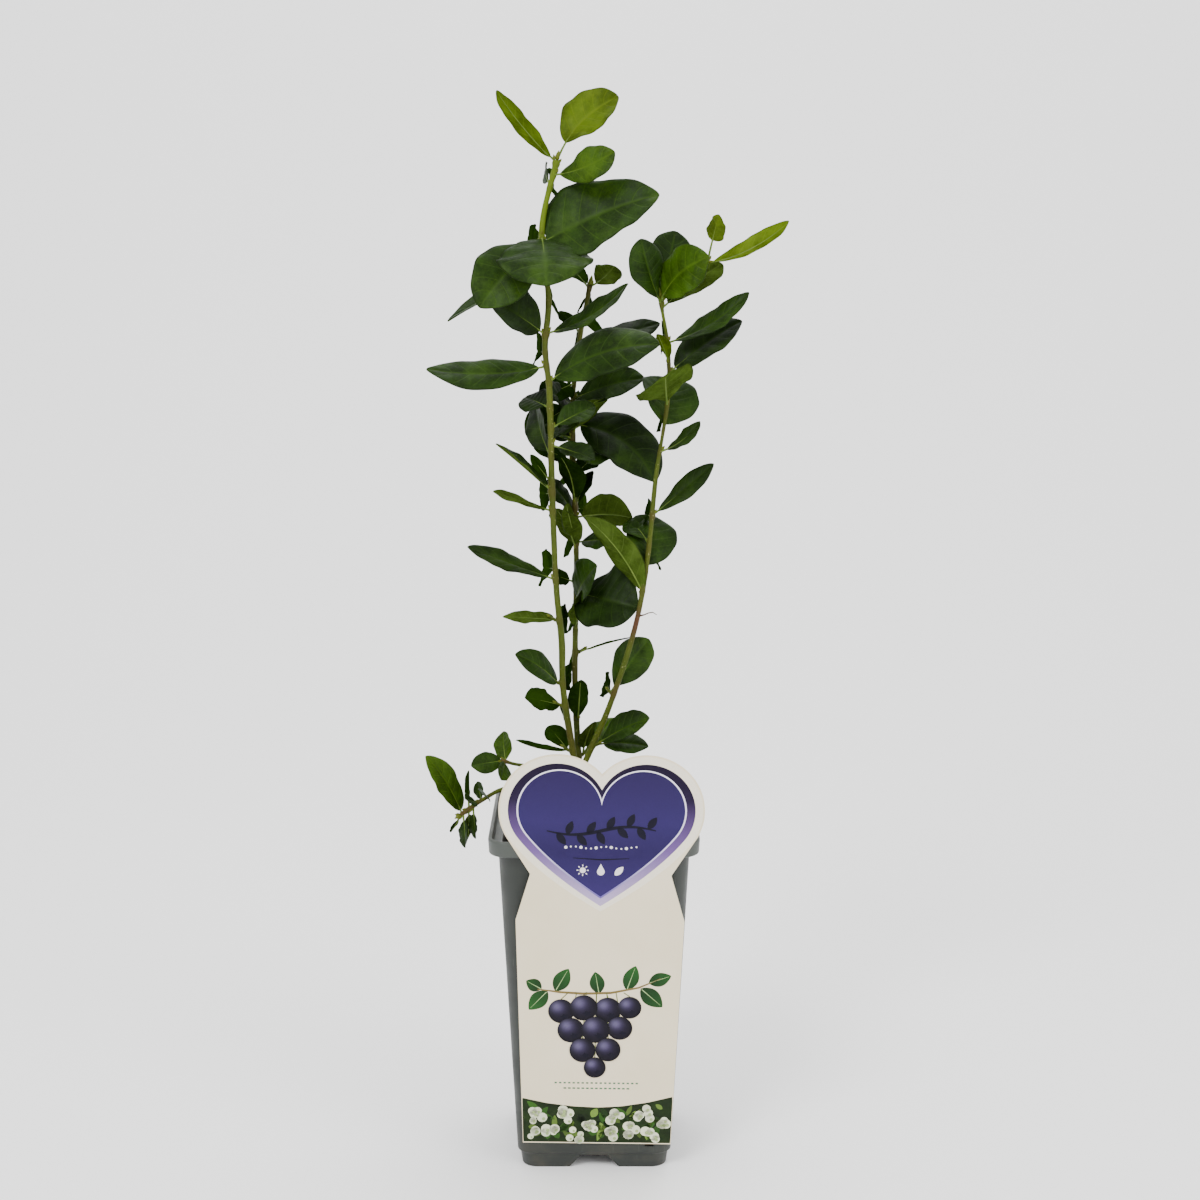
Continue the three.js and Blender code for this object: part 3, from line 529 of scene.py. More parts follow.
def build_leaf(builder, ribs, root, leaf, dice, slots, tone):
    """One leaf: a closed blade with quilted veins, and its stalk and midrib as a thin rod."""
    length = leaf["length"]
    stalk = leaf.get("stalk", LEAF_STALK)
    width = leaf.get("width", length * LEAF_WIDTH_SHARE)
    widest = leaf.get("widest", LEAF_WIDEST)
    shares = 0.5 - 0.5 * np.cos(np.linspace(0, np.pi, BLADE_ROWS + 1))
    shares = 0.35 * np.linspace(0, 1, BLADE_ROWS + 1) + 0.65 * shares
    path = leaf_path(root, leaf, [stalk + s * (length - stalk) for s in shares])
    thick = max(THINNEST, THICK_SHARE * length)
    wave = dice.uniform(0.5, 1.5) * width / 30
    waves = dice.uniform(1.1, 2.4)
    phases = [[dice.random() for _ in range(4)] for _ in range(2)]
    cup = dice.uniform(-CUP, CUP)
    twist = rad(dice.uniform(-TWIST, TWIST))
    quilt = QUILT * min(1, width / QUILT_FULL)
    across_steps = np.linspace(-1, 1, 2 * BLADE_HALF + 1)
    across_steps = np.sign(across_steps) * np.abs(across_steps) ** 0.9
    top, bottom, uvs = [], [], []
    for s, (place, _, across, up) in zip(shares, path):
        half = max(width / 2 * float(blade_width(s, widest)), 0.3)
        half *= 1 - 0.12 * float(smoothstep(0.86, 1.0, s))
        turn = twist * (s - 0.3)
        cos, sin = math.cos(turn), math.sin(turn)
        across, up = across * cos + up * sin, up * cos - across * sin
        margins, ripples = [], []
        for one, two, three, four in phases:
            uneven = 0.04 * wavy(1.3 * s + one) + 0.01 * wavy(3.9 * s + two)
            margins.append(1 + uneven * min(1, 6 * (1 - s), 6 * s))
            ripple = wavy(waves * s + three) + 0.45 * wavy(2.3 * waves * s + four)
            ripples.append(wave * ripple * math.sin(math.pi * min(max(s, 0.02), 0.98)))
        for v in across_steps:
            hand = 0 if v > 0 else 1
            reach = half * margins[hand] if v else half
            fold = abs(v) * half * math.sin(rad(LEAF_FOLD))
            groove = -0.25 * math.exp(-((v * half / 0.9) ** 2))
            bowl = cup * half * v * v
            ripple = ripples[hand] * abs(v) ** 2.4
            rise_of_vein = (s * VEINS - 1.1 * abs(v) ** 1.2) % 1
            puff = quilt * math.sin(math.pi * rise_of_vein) * min(1, 4 * abs(v)) * (1 - v**4)
            z = fold + groove + bowl + ripple + puff
            edge = 0.5 * thick * (1 - 0.55 * v**4)
            x = v * reach * math.cos(rad(LEAF_FOLD))
            top.append(place + across * x + up * (z + edge))
            bottom.append(place + across * x + up * (z - edge))
            uvs.append((s, 0.5 + 0.5 * v))
    columns = len(across_steps)
    faces, face_slots = [], []
    offset = len(top)
    for i in range(BLADE_ROWS):
        for j in range(columns - 1):
            a, b = i * columns + j, i * columns + j + 1
            faces.append((a, a + columns, b + columns, b))
            face_slots.append(slots[0])
            faces.append((offset + a, offset + b, offset + b + columns, offset + a + columns))
            face_slots.append(slots[1])
        for a, turn in ((i * columns, False), (i * columns + columns - 1, True)):
            rim = (a, a + offset, a + offset + columns, a + columns)
            faces.append(rim[::-1] if turn else rim)
            face_slots.append(slots[0])
    for i, turn in ((0, True), (BLADE_ROWS, False)):
        for j in range(columns - 1):
            a, b = i * columns + j, i * columns + j + 1
            end = (a, a + offset, b + offset, b)
            faces.append(end[::-1] if not turn else end)
            face_slots.append(slots[0])
    builder.add(np.array(top + bottom), faces, face_slots, uvs + uvs, tone)

    on_blade = stalk + np.linspace(0, 0.93, 12) * (length - stalk)
    distances = np.concatenate([np.linspace(0, stalk, 4)[:-1], on_blade])
    rod, radii = [], []
    for d, (place, _, _, up) in zip(distances, leaf_path(root, leaf, distances)):
        share = max(0, (d - stalk) / (length - stalk))
        drop = (0.30 + 0.1 * thick) * float(smoothstep(0, 0.06, share))
        rod.append(place - up * drop)
        slim = lerp(RIB_AT_BLADE, RIB_END, share**0.8)
        radii.append(lerp(RIB_FOOT, RIB_AT_BLADE, min(1, d / stalk)) if d <= stalk else slim)
    ribs.rod(rod, radii, RIB_SIDES, slots[2], tone)


def coarse_blade(root, leaf):
    """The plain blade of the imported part, used to find which back leaves have room."""
    length, stalk = leaf["length"], LEAF_STALK
    width = leaf.get("width", length * LEAF_WIDTH_SHARE)
    distances = [0, stalk] + [stalk + s * (length - stalk) for s in LEAF_STATIONS] + [length]
    path = leaf_path(root, leaf, distances)
    points = []
    for d, (place, _, across, up) in zip(distances[:-1], path[:-1]):
        share = (d - stalk) / (length - stalk)
        on_blade = d > stalk
        reach = 0.55 + (width / 2 * float(blade_width(share, LEAF_WIDEST)) if on_blade else 0)
        lift = rad(LEAF_FOLD) if on_blade else 0
        thick = length * 0.01 if on_blade else 0.55
        for x, z in ((1, 0), (0, 1), (-1, 0), (0, -1)):
            aside, high = x * reach * math.cos(lift), abs(x) * reach * math.sin(lift) + z * thick
            points.append(place + across * aside + up * high)
    rings = len(distances) - 1
    last = 4 * (rings - 1)
    points.append(path[-1][0])
    faces = side_faces(rings, 4) + [(last + k, last + (k + 1) % 4, len(points) - 1) for k in range(4)]
    faces.append((3, 2, 1, 0))
    return BVHTree.FromPolygons([Vector(p) * MM for p in points], faces)


def node_tree(name):
    """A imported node's faces, to test against."""
    return BVHTree.FromObject(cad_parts[name], bpy.context.evaluated_depsgraph_get())


DRAW_TIMES, DRAW_PLUS, DRAW_SIZE = 1664525, 1013904223, 4294967296


class SeededRow:
    """The source's generator, so that the back leaves are drawn as they are there."""

    def __init__(self, seed):
        self.state = seed

    def about(self, value, spread):
        self.state = (self.state * DRAW_TIMES + DRAW_PLUS) % DRAW_SIZE
        return value + spread * (2 * self.state / DRAW_SIZE - 1)


PLANT_NODES = [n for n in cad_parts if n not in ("pot", "compost", "label_card")]
trees = {name: node_tree(name) for name in PLANT_NODES}
row_dice = SeededRow(SEED)


def back_leaves(mass):
    """Seeded leaves behind a mass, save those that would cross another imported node."""
    cane = canes[mass["cane"]]
    spread = BACK["spread"]
    rows = []
    for i in range(mass.get("back", 0)):
        height = mass["from"] + (i + 0.5) / mass["back"] * (mass["to"] - mass["from"])
        fan = BACK["fan"] if i % 2 == 0 else -BACK["fan"]
        hang = BACK["hang"] * (BACK["high"] - height) / (BACK["high"] - BACK["low"])
        leaf = dict(
            height=height,
            bearing=row_dice.about(mass.get("facing", BACK["bearing"]) + fan, spread["bearing"]),
            rise=row_dice.about(-hang, spread["rise"]),
            length=row_dice.about(BACK["length"], spread["length"]),
            lean=row_dice.about(BACK["lean"], spread["lean"]),
            droop=8,
        )
        blade = coarse_blade(cane.at(cane.share_at(height)), leaf)
        if not any(blade.overlap(tree) for name, tree in trees.items() if name != mass["name"]):
            rows.append(leaf)
    return rows


# ------------------------------------------------------------------ materials
def linear(r, g, b):
    """An sRGB colour in 0 to 255, as the linear colour Blender wants."""
    out = []
    for c in (r, g, b):
        c /= 255
        out.append(c / 12.92 if c <= 0.04045 else ((c + 0.055) / 1.055) ** 2.4)
    return (*out, 1.0)


def new_material(name, roughness=0.5, specular=0.5):
    material = bpy.data.materials.new(name)
    material.use_nodes = True
    tree = material.node_tree
    shader = tree.nodes["Principled BSDF"]
    shader.inputs["Roughness"].default_value = roughness
    shader.inputs["Specular IOR Level"].default_value = specular
    return material, tree, shader


def node(tree, kind, inputs=None, **settings):
    made = tree.nodes.new(kind)
    for key, value in settings.items():
        setattr(made, key, value)
    for key, value in (inputs or {}).items():
        if isinstance(value, bpy.types.NodeSocket):
            tree.links.new(value, made.inputs[key])
        else:
            made.inputs[key].default_value = value
    return made


def calc(tree, operation, a, b=0.0, c=0.0):
    return node(tree, "ShaderNodeMath", {0: a, 1: b, 2: c}, operation=operation).outputs[0]


def blend(tree, share, a, b, kind="MIX"):
    mix = node(tree, "ShaderNodeMix", data_type="RGBA", blend_type=kind)
    for key, value in (("Factor_Float", share), ("A_Color", a), ("B_Color", b)):
        socket = next(s for s in mix.inputs if s.identifier == key)
        if isinstance(value, bpy.types.NodeSocket):
            tree.links.new(value, socket)
        else:
            socket.default_value = value
    return next(s for s in mix.outputs if s.identifier == "Result_Color")


def ramp(tree, value, low, high, to_low=0.0, to_high=1.0):
    inputs = {"Value": value, "From Min": low, "From Max": high, "To Min": to_low, "To Max": to_high}
    return node(tree, "ShaderNodeMapRange", inputs).outputs[0]


def noise(tree, scale, detail=3.0, roughness=0.5, where=None):
    place = where or node(tree, "ShaderNodeTexCoord").outputs["Object"]
    inputs = {"Vector": place, "Scale": scale, "Detail": detail, "Roughness": roughness}
    return node(tree, "ShaderNodeTexNoise", inputs).outputs[0]


def paint(tree, shader, value, socket="Base Color"):
    tree.links.new(value, shader.inputs[socket])


def set_bump(tree, shader, height, distance, strength=1.0):
    bump = node(tree, "ShaderNodeBump", {"Height": height, "Distance": distance, "Strength": strength})
    paint(tree, shader, bump.outputs[0], "Normal")


def leaf_material(name, colour, vein, margin, roughness, vein_share, specular):
    """A blade's face: paler side veins and net, soft mottling, paler patches of painted sheen, and a drier or
    glossier surface.
    """
    material, tree, shader = new_material(name, roughness, specular)
    place = node(tree, "ShaderNodeUVMap", uv_map="place").outputs[0]
    split = node(tree, "ShaderNodeSeparateXYZ", {0: place})
    along = split.outputs[0]
    aside = calc(tree, "ABSOLUTE", calc(tree, "MULTIPLY_ADD", split.outputs[1], 2.0, -1.0))
    curve = calc(tree, "MULTIPLY", calc(tree, "POWER", aside, 1.2), -1.1)
    phase = calc(tree, "FRACT", calc(tree, "MULTIPLY_ADD", along, VEINS, curve))
    near = calc(tree, "ABSOLUTE", calc(tree, "SUBTRACT", phase, 0.5))
    side_vein = ramp(tree, near, 0.44, 0.497)
    side_vein = calc(tree, "MULTIPLY", side_vein, ramp(tree, aside, 1.0, 0.72))
    middle = ramp(tree, aside, 0.1, 0.02)
    cells = node(
        tree,
        "ShaderNodeTexVoronoi",
        {"Vector": node(tree, "ShaderNodeTexCoord").outputs["Object"], "Scale": 520.0},
        feature="DISTANCE_TO_EDGE",
    )
    net = ramp(tree, cells.outputs[0], 0.09, 0.0)
    lines = calc(tree, "MAXIMUM", side_vein, calc(tree, "MULTIPLY", net, 0.35))
    lines = calc(tree, "MAXIMUM", lines, middle)
    tone = node(tree, "ShaderNodeAttribute", attribute_name="tone").outputs["Fac"]
    mottle = ramp(tree, noise(tree, 95.0, 5.0, 0.6), 0.38, 0.62, 0.7, 1.36)
    mottle = calc(tree, "MULTIPLY", mottle, tone)
    base = node(tree, "ShaderNodeVectorMath", {0: colour[:3], "Scale": mottle}, operation="SCALE").outputs[0]
    tinted = blend(tree, calc(tree, "MULTIPLY", lines, vein_share), base, vein)
    # Paler patches from a broad noise are painted sheen, blended toward the vein colour.
    painted_sheen = ramp(tree, noise(tree, 48.0, 6.0, 0.7), 0.5, 0.66, 0.0, 0.42)
    tinted = blend(tree, painted_sheen, tinted, vein)
    tinted = blend(tree, ramp(tree, aside, 0.93, 0.99, 0.0, 0.6), tinted, margin)
    paint(tree, shader, tinted)
    rough = ramp(tree, noise(tree, 230.0, 3.0), 0.3, 0.7, roughness - 0.06, roughness + 0.08)
    paint(tree, shader, rough, "Roughness")
    grain = calc(tree, "MULTIPLY", noise(tree, 900.0), 0.5)
    height = calc(tree, "ADD", calc(tree, "MULTIPLY", lines, -0.6), grain)
    set_bump(tree, shader, height, 0.00016, 0.8)
    return material


LEAF_LOOKS = {  # face, veins, roughness, share of the veins, gloss
    "dark": ((17, 32, 4), (44, 66, 14), 0.46, 0.3, 0.08),
    "mid": ((24, 43, 5), (56, 82, 18), 0.47, 0.34, 0.08),
    "shade": ((20, 37, 6), (40, 62, 14), 0.6, 0.3, 0.0),
    "fresh": ((38, 60, 5), (72, 98, 20), 0.48, 0.38, 0.07),
    "young": ((60, 77, 5), (94, 110, 24), 0.5, 0.4, 0.05),
    "under": ((48, 64, 20), (78, 96, 40), 0.65, 0.5, 0.0),
    "under_young": ((66, 84, 14), (100, 120, 36), 0.65, 0.45, 0.0),
}
leaf_materials = {}
for look, (body, vein_colour, *surface) in LEAF_LOOKS.items():
    rim = linear(*(0.62 * c for c in body))
    colours = (linear(*body), linear(*vein_colour), rim)
    leaf_materials[look] = leaf_material("leaf_" + look, *colours, *surface)
LOOK_ORDER = list(LEAF_LOOKS)
UNDER_OF = {"fresh": "under_young", "young": "under_young", "under_young": "under_young", "shade": "shade"}


def rib_material():
    material, tree, shader = new_material("leaf_rib", 0.5, 0.08)
    tone = ramp(tree, noise(tree, 120.0), 0.3, 0.7)
    mixed = blend(tree, tone, linear(74, 96, 34), linear(98, 116, 50))
    paint(tree, shader, mixed)
    return material


def bark_material(name, low, high, streak, roughness):
    """A cane's skin: long fine streaks over two tones, with pale specks and reddish-brown places."""
    material, tree, shader = new_material(name, roughness, 0.12)
    place = node(tree, "ShaderNodeUVMap", uv_map="place").outputs[0]
    stretched = node(tree, "ShaderNodeMapping", {"Vector": place, "Scale": (26.0, 9.0, 1.0)}).outputs[0]
    streaks = noise(tree, 1.6, 4.0, 0.6, stretched)
    broad = ramp(tree, noise(tree, 40.0, 3.0), 0.35, 0.65)
    tinted = blend(tree, broad, low, high)
    tinted = blend(tree, ramp(tree, streaks, 0.52, 0.7, 0.0, 0.55), tinted, streak)
    specks = ramp(tree, noise(tree, 700.0, 1.0), 0.68, 0.74, 0.0, 0.4)
    tinted = blend(tree, specks, tinted, linear(150, 150, 104))
    tone = node(tree, "ShaderNodeAttribute", attribute_name="tone").outputs["Fac"]
    tinted = blend(tree, ramp(tree, tone, 1.0, 2.0), tinted, linear(78, 46, 34))
    tinted = blend(tree, ramp(tree, tone, 1.0, 0.0), tinted, linear(92, 112, 18))
    paint(tree, shader, tinted)
    set_bump(tree, shader, streaks, 0.0003, 0.7)
    return material


# ------------------------------------------------------------------ leaves on the plant
dice = random.Random(LEAF_SEED)
# The looks of the leaves of each piece, in the order of its rows. Later leaves are in shade.
LOOKS = {
    "left_leaves_4": "mid mid mid mid dark fresh young under_young",
    "left_leaves_3": "mid dark mid",
    "left_leaves_1": "dark under dark",
    "middle_leaves_1": "mid mid dark",
    "left_leaves_2": "dark dark mid dark mid",
    "middle_leaves_2": "dark mid mid dark under",
    "middle_leaves_3": "mid dark mid dark dark mid dark shade mid",
    "middle_leaves_4": "dark shade shade under",
    "right_leaves_1": "under mid mid dark",
    "right_leaves_2": "dark mid under",
    "right_leaves_3": "dark young mid",
    "right_leaves_4": "under mid mid fresh under_young young",
    "side": "fresh shade mid mid dark mid shade dark mid",
    "second": "fresh mid mid",
    "left_spray_4": "under",
    "left_spray_3": "mid",
    "middle_spray_1": "fresh mid",
    "right_spray_1": "mid mid",
    "right_spray_2": "mid",
}


def place_leaf(builder, ribs, root, leaf, name, row):
    looks = LOOKS.get(name, "").split()
    look = looks[row] if row < len(looks) else "shade"
    top, under = LOOK_ORDER.index(look), LOOK_ORDER.index(UNDER_OF.get(look, "under"))
    tone = dice.uniform(0.85, 1.15)
    build_leaf(builder, ribs, root, leaf, dice, (top, under, 0), tone)


BUD = ((0, 0.5), (0.2, 0.95), (0.42, 1), (0.68, 0.72), (0.88, 0.34), (1, 0.06))  # share along, girth


def small_bud(ribs, centre, way, length, radius):
    """A closed pointed bud."""
    way = unit(way)
    points = [np.array(centre) + way * length * d for d, _ in BUD]
    ribs.rod(points, [radius * r for _, r in BUD], 8, 1)


leaf_sets = {name: (Builder(), []) for name in ("left", "middle", "right", "low", "spray")}
ribs = Builder()
node_heights = {name: [] for name in canes}


def grow(cane_name, group, root, leaf, name, row):
    place_leaf(leaf_sets[group][0], ribs, root, leaf, name, row)
    along = leaf_frame(leaf)[0]
    cane = canes[cane_name]
    share = leaf.get("along") or cane.share_at(root[2])
    out = unit(along - cane.way(share) * np.dot(along, cane.way(share)))
    axil = np.array(root) + out * cane.radius(share) * 0.75 + cane.way(share) * 1.1
    small_bud(ribs, axil, cane.way(share) * 0.9 + out * 0.45, 2.6, 0.75)
    node_heights[cane_name].append((share, out))


for mass in MASSES:
    cane_name = mass["cane"]
    leaf_sets[cane_name][1].append(mass["name"])
    for row, leaf in enumerate(mass["leaves"] + back_leaves(mass)):
        name = mass.get("twig") if "along" in leaf else cane_name
        cane = canes[name]
        share = leaf["along"] if "along" in leaf else cane.share_at(leaf["height"])
        grow(name, cane_name, cane.at(share), leaf, mass["name"], row)
    if mass.get("bud"):
        small_bud(ribs, canes[cane_name].at(1), canes[cane_name].way(1), mass["bud"], 1.15)
for name, rows in (("side", SIDE_LEAVES), ("second", SECOND_LEAVES)):
    for row, leaf in enumerate(rows):
        grow(name, "low", canes[name].at(leaf["along"]), leaf, name, row)
    small_bud(ribs, canes[name].at(1), canes[name].way(1), 4, 1.15)
leaf_sets["low"][1].extend(["side_leaves", "second_shoot_leaves"])

spurs = []
for spray in SPRAYS:
    cane = canes[spray["cane"]]
    share = cane.share_at(spray["height"])
    b = rad(spray["bearing"])
    out = np.array([math.cos(b), math.sin(b), 0])
    along = unit(out + np.array([0, 0, 0.6]))
    root = cane.at(share) + out * (cane.radius(share) + GAP + SPUR["radius"] * along[2])
    spurs.append((cane.at(share), root, root + along * SPUR["length"]))
    node_heights[spray["cane"]].append((share, out))
    leaf_sets["spray"][1].append(spray["name"])
    for row, leaf in enumerate(spray["leaves"]):
        place_leaf(leaf_sets["spray"][0], ribs, root + along * SPUR["leafAt"], leaf, spray["name"], row)
    small_bud(ribs, root + along * 3.0, along, 2.4, 0.8)

pieces = []
for name, (builder, nodes) in leaf_sets.items():
    made = builder.build(name + "_foliage", [leaf_materials[k] for k in LOOK_ORDER])
    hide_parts(*nodes)
    pieces.append(made)

# ------------------------------------------------------------------ canes, spurs and base
# Where a cane is thinner: (height, share). Where its young green skin starts. Where it is red:
# (height, spread, how much).
GIRTH = {"left": [(311, 0.2)], "right": [(377, 0.22), (434, 0.15)], "middle": [(330, 0.15)]}
FRESH = {"left": 448, "right": 418, "right_twig": 430, "middle": 470}
NEVER_FRESH = 600
RED = {"right": [(281, 8, 0.9), (246, 5, 0.35)], "left": [(222, 7, 0.3)], "middle": [(252, 8, 0.25)]}
CANE_STEP, CANE_SIDES, BASE_ROWS = 1.6, 14, 26
stems = Builder()
for name, cane in canes.items():
    steps = max(24, int(cane.length / CANE_STEP))
    points, radii = [], []
    sides = CANE_SIDES
    for i in range(steps + 1):
        share = i / steps
        high = cane.at(share)[2]
        thinned = sum(by * math.exp(-(((high - at) / 9) ** 2)) for at, by in GIRTH.get(name, []))
        radius = cane.radius(share) * (1 - thinned + 0.05 * math.sin(high / 6.5 + len(name)))
        ring = np.full(sides, radius)
        for at, out in node_heights[name]:
            near = math.exp(-(((share - at) * cane.length / 1.5) ** 2))
            if near > 0.01:
                u, v = round_basis(cane.way(share))
                lean = np.arctan2(np.dot(out, v), np.dot(out, u))
                angles = 2 * np.pi * np.arange(sides) / sides
                toward = np.maximum(np.cos(angles - lean), 0) ** 2
                ring = ring * (1 + near * (0.1 + 0.3 * toward))
        points.append(cane.at(share))
        radii.append(list(ring))
    made, faces, uvs = tube(points, radii, sides)
    uvs = uvs * [cane.length / 60, 1]
    browned = np.ones(len(made))
    for at, spread, much in RED.get(name, []):
        browned += much * np.exp(-(((np.array(made)[:, 2] - at) / spread) ** 2))
    for at, _ in node_heights[name]:
        browned += 0.25 * np.exp(-((np.linalg.norm(np.array(made) - cane.at(at), axis=1) / 2.6) ** 2))
    browned -= 0.8 * smoothstep(0, 40, np.array(made)[:, 2] - FRESH.get(name, NEVER_FRESH))
    stems.add(made, faces, 0, uvs, browned)
for start, root, end in spurs:
    points = [lerp(start, root, 0.2), root, lerp(root, end, 0.6), end]
    stems.rod(points, [0.95, 0.9, 0.8, 0.7], 10)
# A dead stalk, dry and curled, is left on the right cane.
dead = [
    (23.4, -7.2, 284.6), (25.4, -7.9, 285.2), (27.8, -8.3, 286.3),
    (29.8, -8.5, 286.6), (31.9, -8.4, 285.2),
]
stems.rod(dead, [0.5, 0.34, 0.3, 0.26, 0.16], 6, tone=1.8)

wood = Builder()
base_foot = COMPOST_TOP + GAP
bark_dice = random.Random(BARK_SEED)


def bark_rod(points, radii, sides, rough):
    rows = []
    phases = [bark_dice.uniform(0, 6.28) for _ in range(4)]
    for i, radius in enumerate(radii):
        ring = []
        for k in range(sides):
            a = 2 * math.pi * k / sides
            ridge = math.sin(5 * a + phases[0] + 0.12 * i) + 0.6 * math.sin(9 * a + phases[1] - 0.17 * i)
            ridge += 0.7 * math.sin(0.9 * i + phases[2] + 2 * a)
            ring.append(radius * (1 + rough * ridge * 0.5))
        rows.append(ring)
    wood.rod(points, rows, sides)


flare_at = [0, 3, 8, BASE_RISE]
flare = [BASE_FLARE, BASE_FLARE * 0.78, BASE_RADIUS, BASE_RADIUS * 0.85]
rises = [BASE_RISE * i / BASE_ROWS for i in range(BASE_ROWS + 1)]
base_points = [(*BASE_AT, base_foot + rise) for rise in rises]
bark_rod(base_points, [float(np.interp(rise, flare_at, flare)) for rise in rises], 28, 0.07)
for name in ("left", "middle", "right", "side", "second"):
    cane = canes[name]
    end = cane.at(0)
    start = np.array([*BASE_AT, base_foot + min(end[2] - 0.3 - base_foot - 5, BASE_RISE - 5)])
    points = [lerp(start, end, k / 12) for k in range(13)]
    radii = [lerp(cane.foot * 1.22, cane.foot * 1.04, k / 12) for k in range(13)]
    bark_rod(points, radii, 16, 0.05)

cane_skin = bark_material("cane_skin", linear(56, 68, 14), linear(74, 84, 24), linear(40, 48, 12), 0.6)
stem_piece = stems.build("canes", [cane_skin])
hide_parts("left_stem", "middle_stem", "right_stem", "side_stem")
bark = bark_material("bark", linear(74, 60, 40), linear(100, 86, 58), linear(46, 36, 26), 0.8)
wood_piece = wood.build("stem_base", [bark])
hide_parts("woody_base")
bud_skin, _, bud_shader = new_material("bud_skin", 0.5, 0.1)
bud_shader.inputs["Base Color"].default_value = linear(84, 92, 26)
rib_piece = ribs.build("leaf_ribs", [rib_material(), bud_skin])
pieces += [stem_piece, wood_piece, rib_piece]


# ------------------------------------------------------------------ pot
def outer_half(height):
    top = POT_HEIGHT - COLLAR_HEIGHT
    return BODY_FOOT_HALF + (BODY_TOP_HALF - BODY_FOOT_HALF) * (height - SKIRT_HEIGHT) / (top - SKIRT_HEIGHT)


def inner_half(height):
    return outer_half(height) - WALL


def square_ring(height, half, corner, steps=12, straight=6):
    """A square ring with round corners, with points along its straight sides too."""
    corners = []
    for side in range(4):
        turn = side * math.pi / 2
        mid = turned([(half - corner, half - corner, height)], turn)[0]
        for i in range(steps + 1):
            a = turn + i / steps * math.pi / 2
            corners.append((mid[0] + corner * math.cos(a), mid[1] + corner * math.sin(a)))
    ring = []
    for i, here in enumerate(corners):
        ring.append((*here, height))
        if i % (steps + 1) == steps:
            there = corners[(i + 1) % len(corners)]
            for k in range(1, straight):
                ring.append((*lerp(np.array(here), np.array(there), k / straight), height))
    return ring


def loft(rings):
    return [p for ring in rings for p in ring], capped(len(rings), len(rings[0]))


def rounded_profile(rows, radius):
    """Rounds the corners of a profile of (height, half, corner) rows."""
    out = [rows[0]]
    for before, here, after in zip(rows, rows[1:], rows[2:]):
        a, b, c = (np.array(r, float) for r in (before, here, after))
        la, lc = np.linalg.norm((a - b)[:2]), np.linalg.norm((c - b)[:2])
        r = min(radius, 0.45 * la, 0.45 * lc)
        p, q = b + (a - b) / max(la, 1e-9) * r, b + (c - b) / max(lc, 1e-9) * r
        for t in (0, 0.33, 0.67, 1):
            out.append(tuple((1 - t) ** 2 * p + 2 * t * (1 - t) * b + t * t * q))
    out.append(rows[-1])
    return out


def boxed(width, depth, height, x, y, z):
    signs = [(sx, sy, sz) for sz in (-1, 1) for sy in (-1, 1) for sx in (-1, 1)]
    corners = [(sx * width / 2 + x, sy * depth / 2 + y, sz * height / 2 + z) for sx, sy, sz in signs]
    faces = [(0, 2, 3, 1), (4, 5, 7, 6), (0, 1, 5, 4), (2, 6, 7, 3), (0, 4, 6, 2), (1, 3, 7, 5)]
    return corners, faces


def turned(points, angle):
    c, s = math.cos(angle), math.sin(angle)
    return [(x * c - y * s, x * s + y * c, z) for x, y, z in points]


def face_out(made):
    bm = bmesh.new()
    bm.from_mesh(made.data)
    bmesh.ops.recalc_face_normals(bm, faces=bm.faces)
    bm.to_mesh(made.data)
    bm.free()


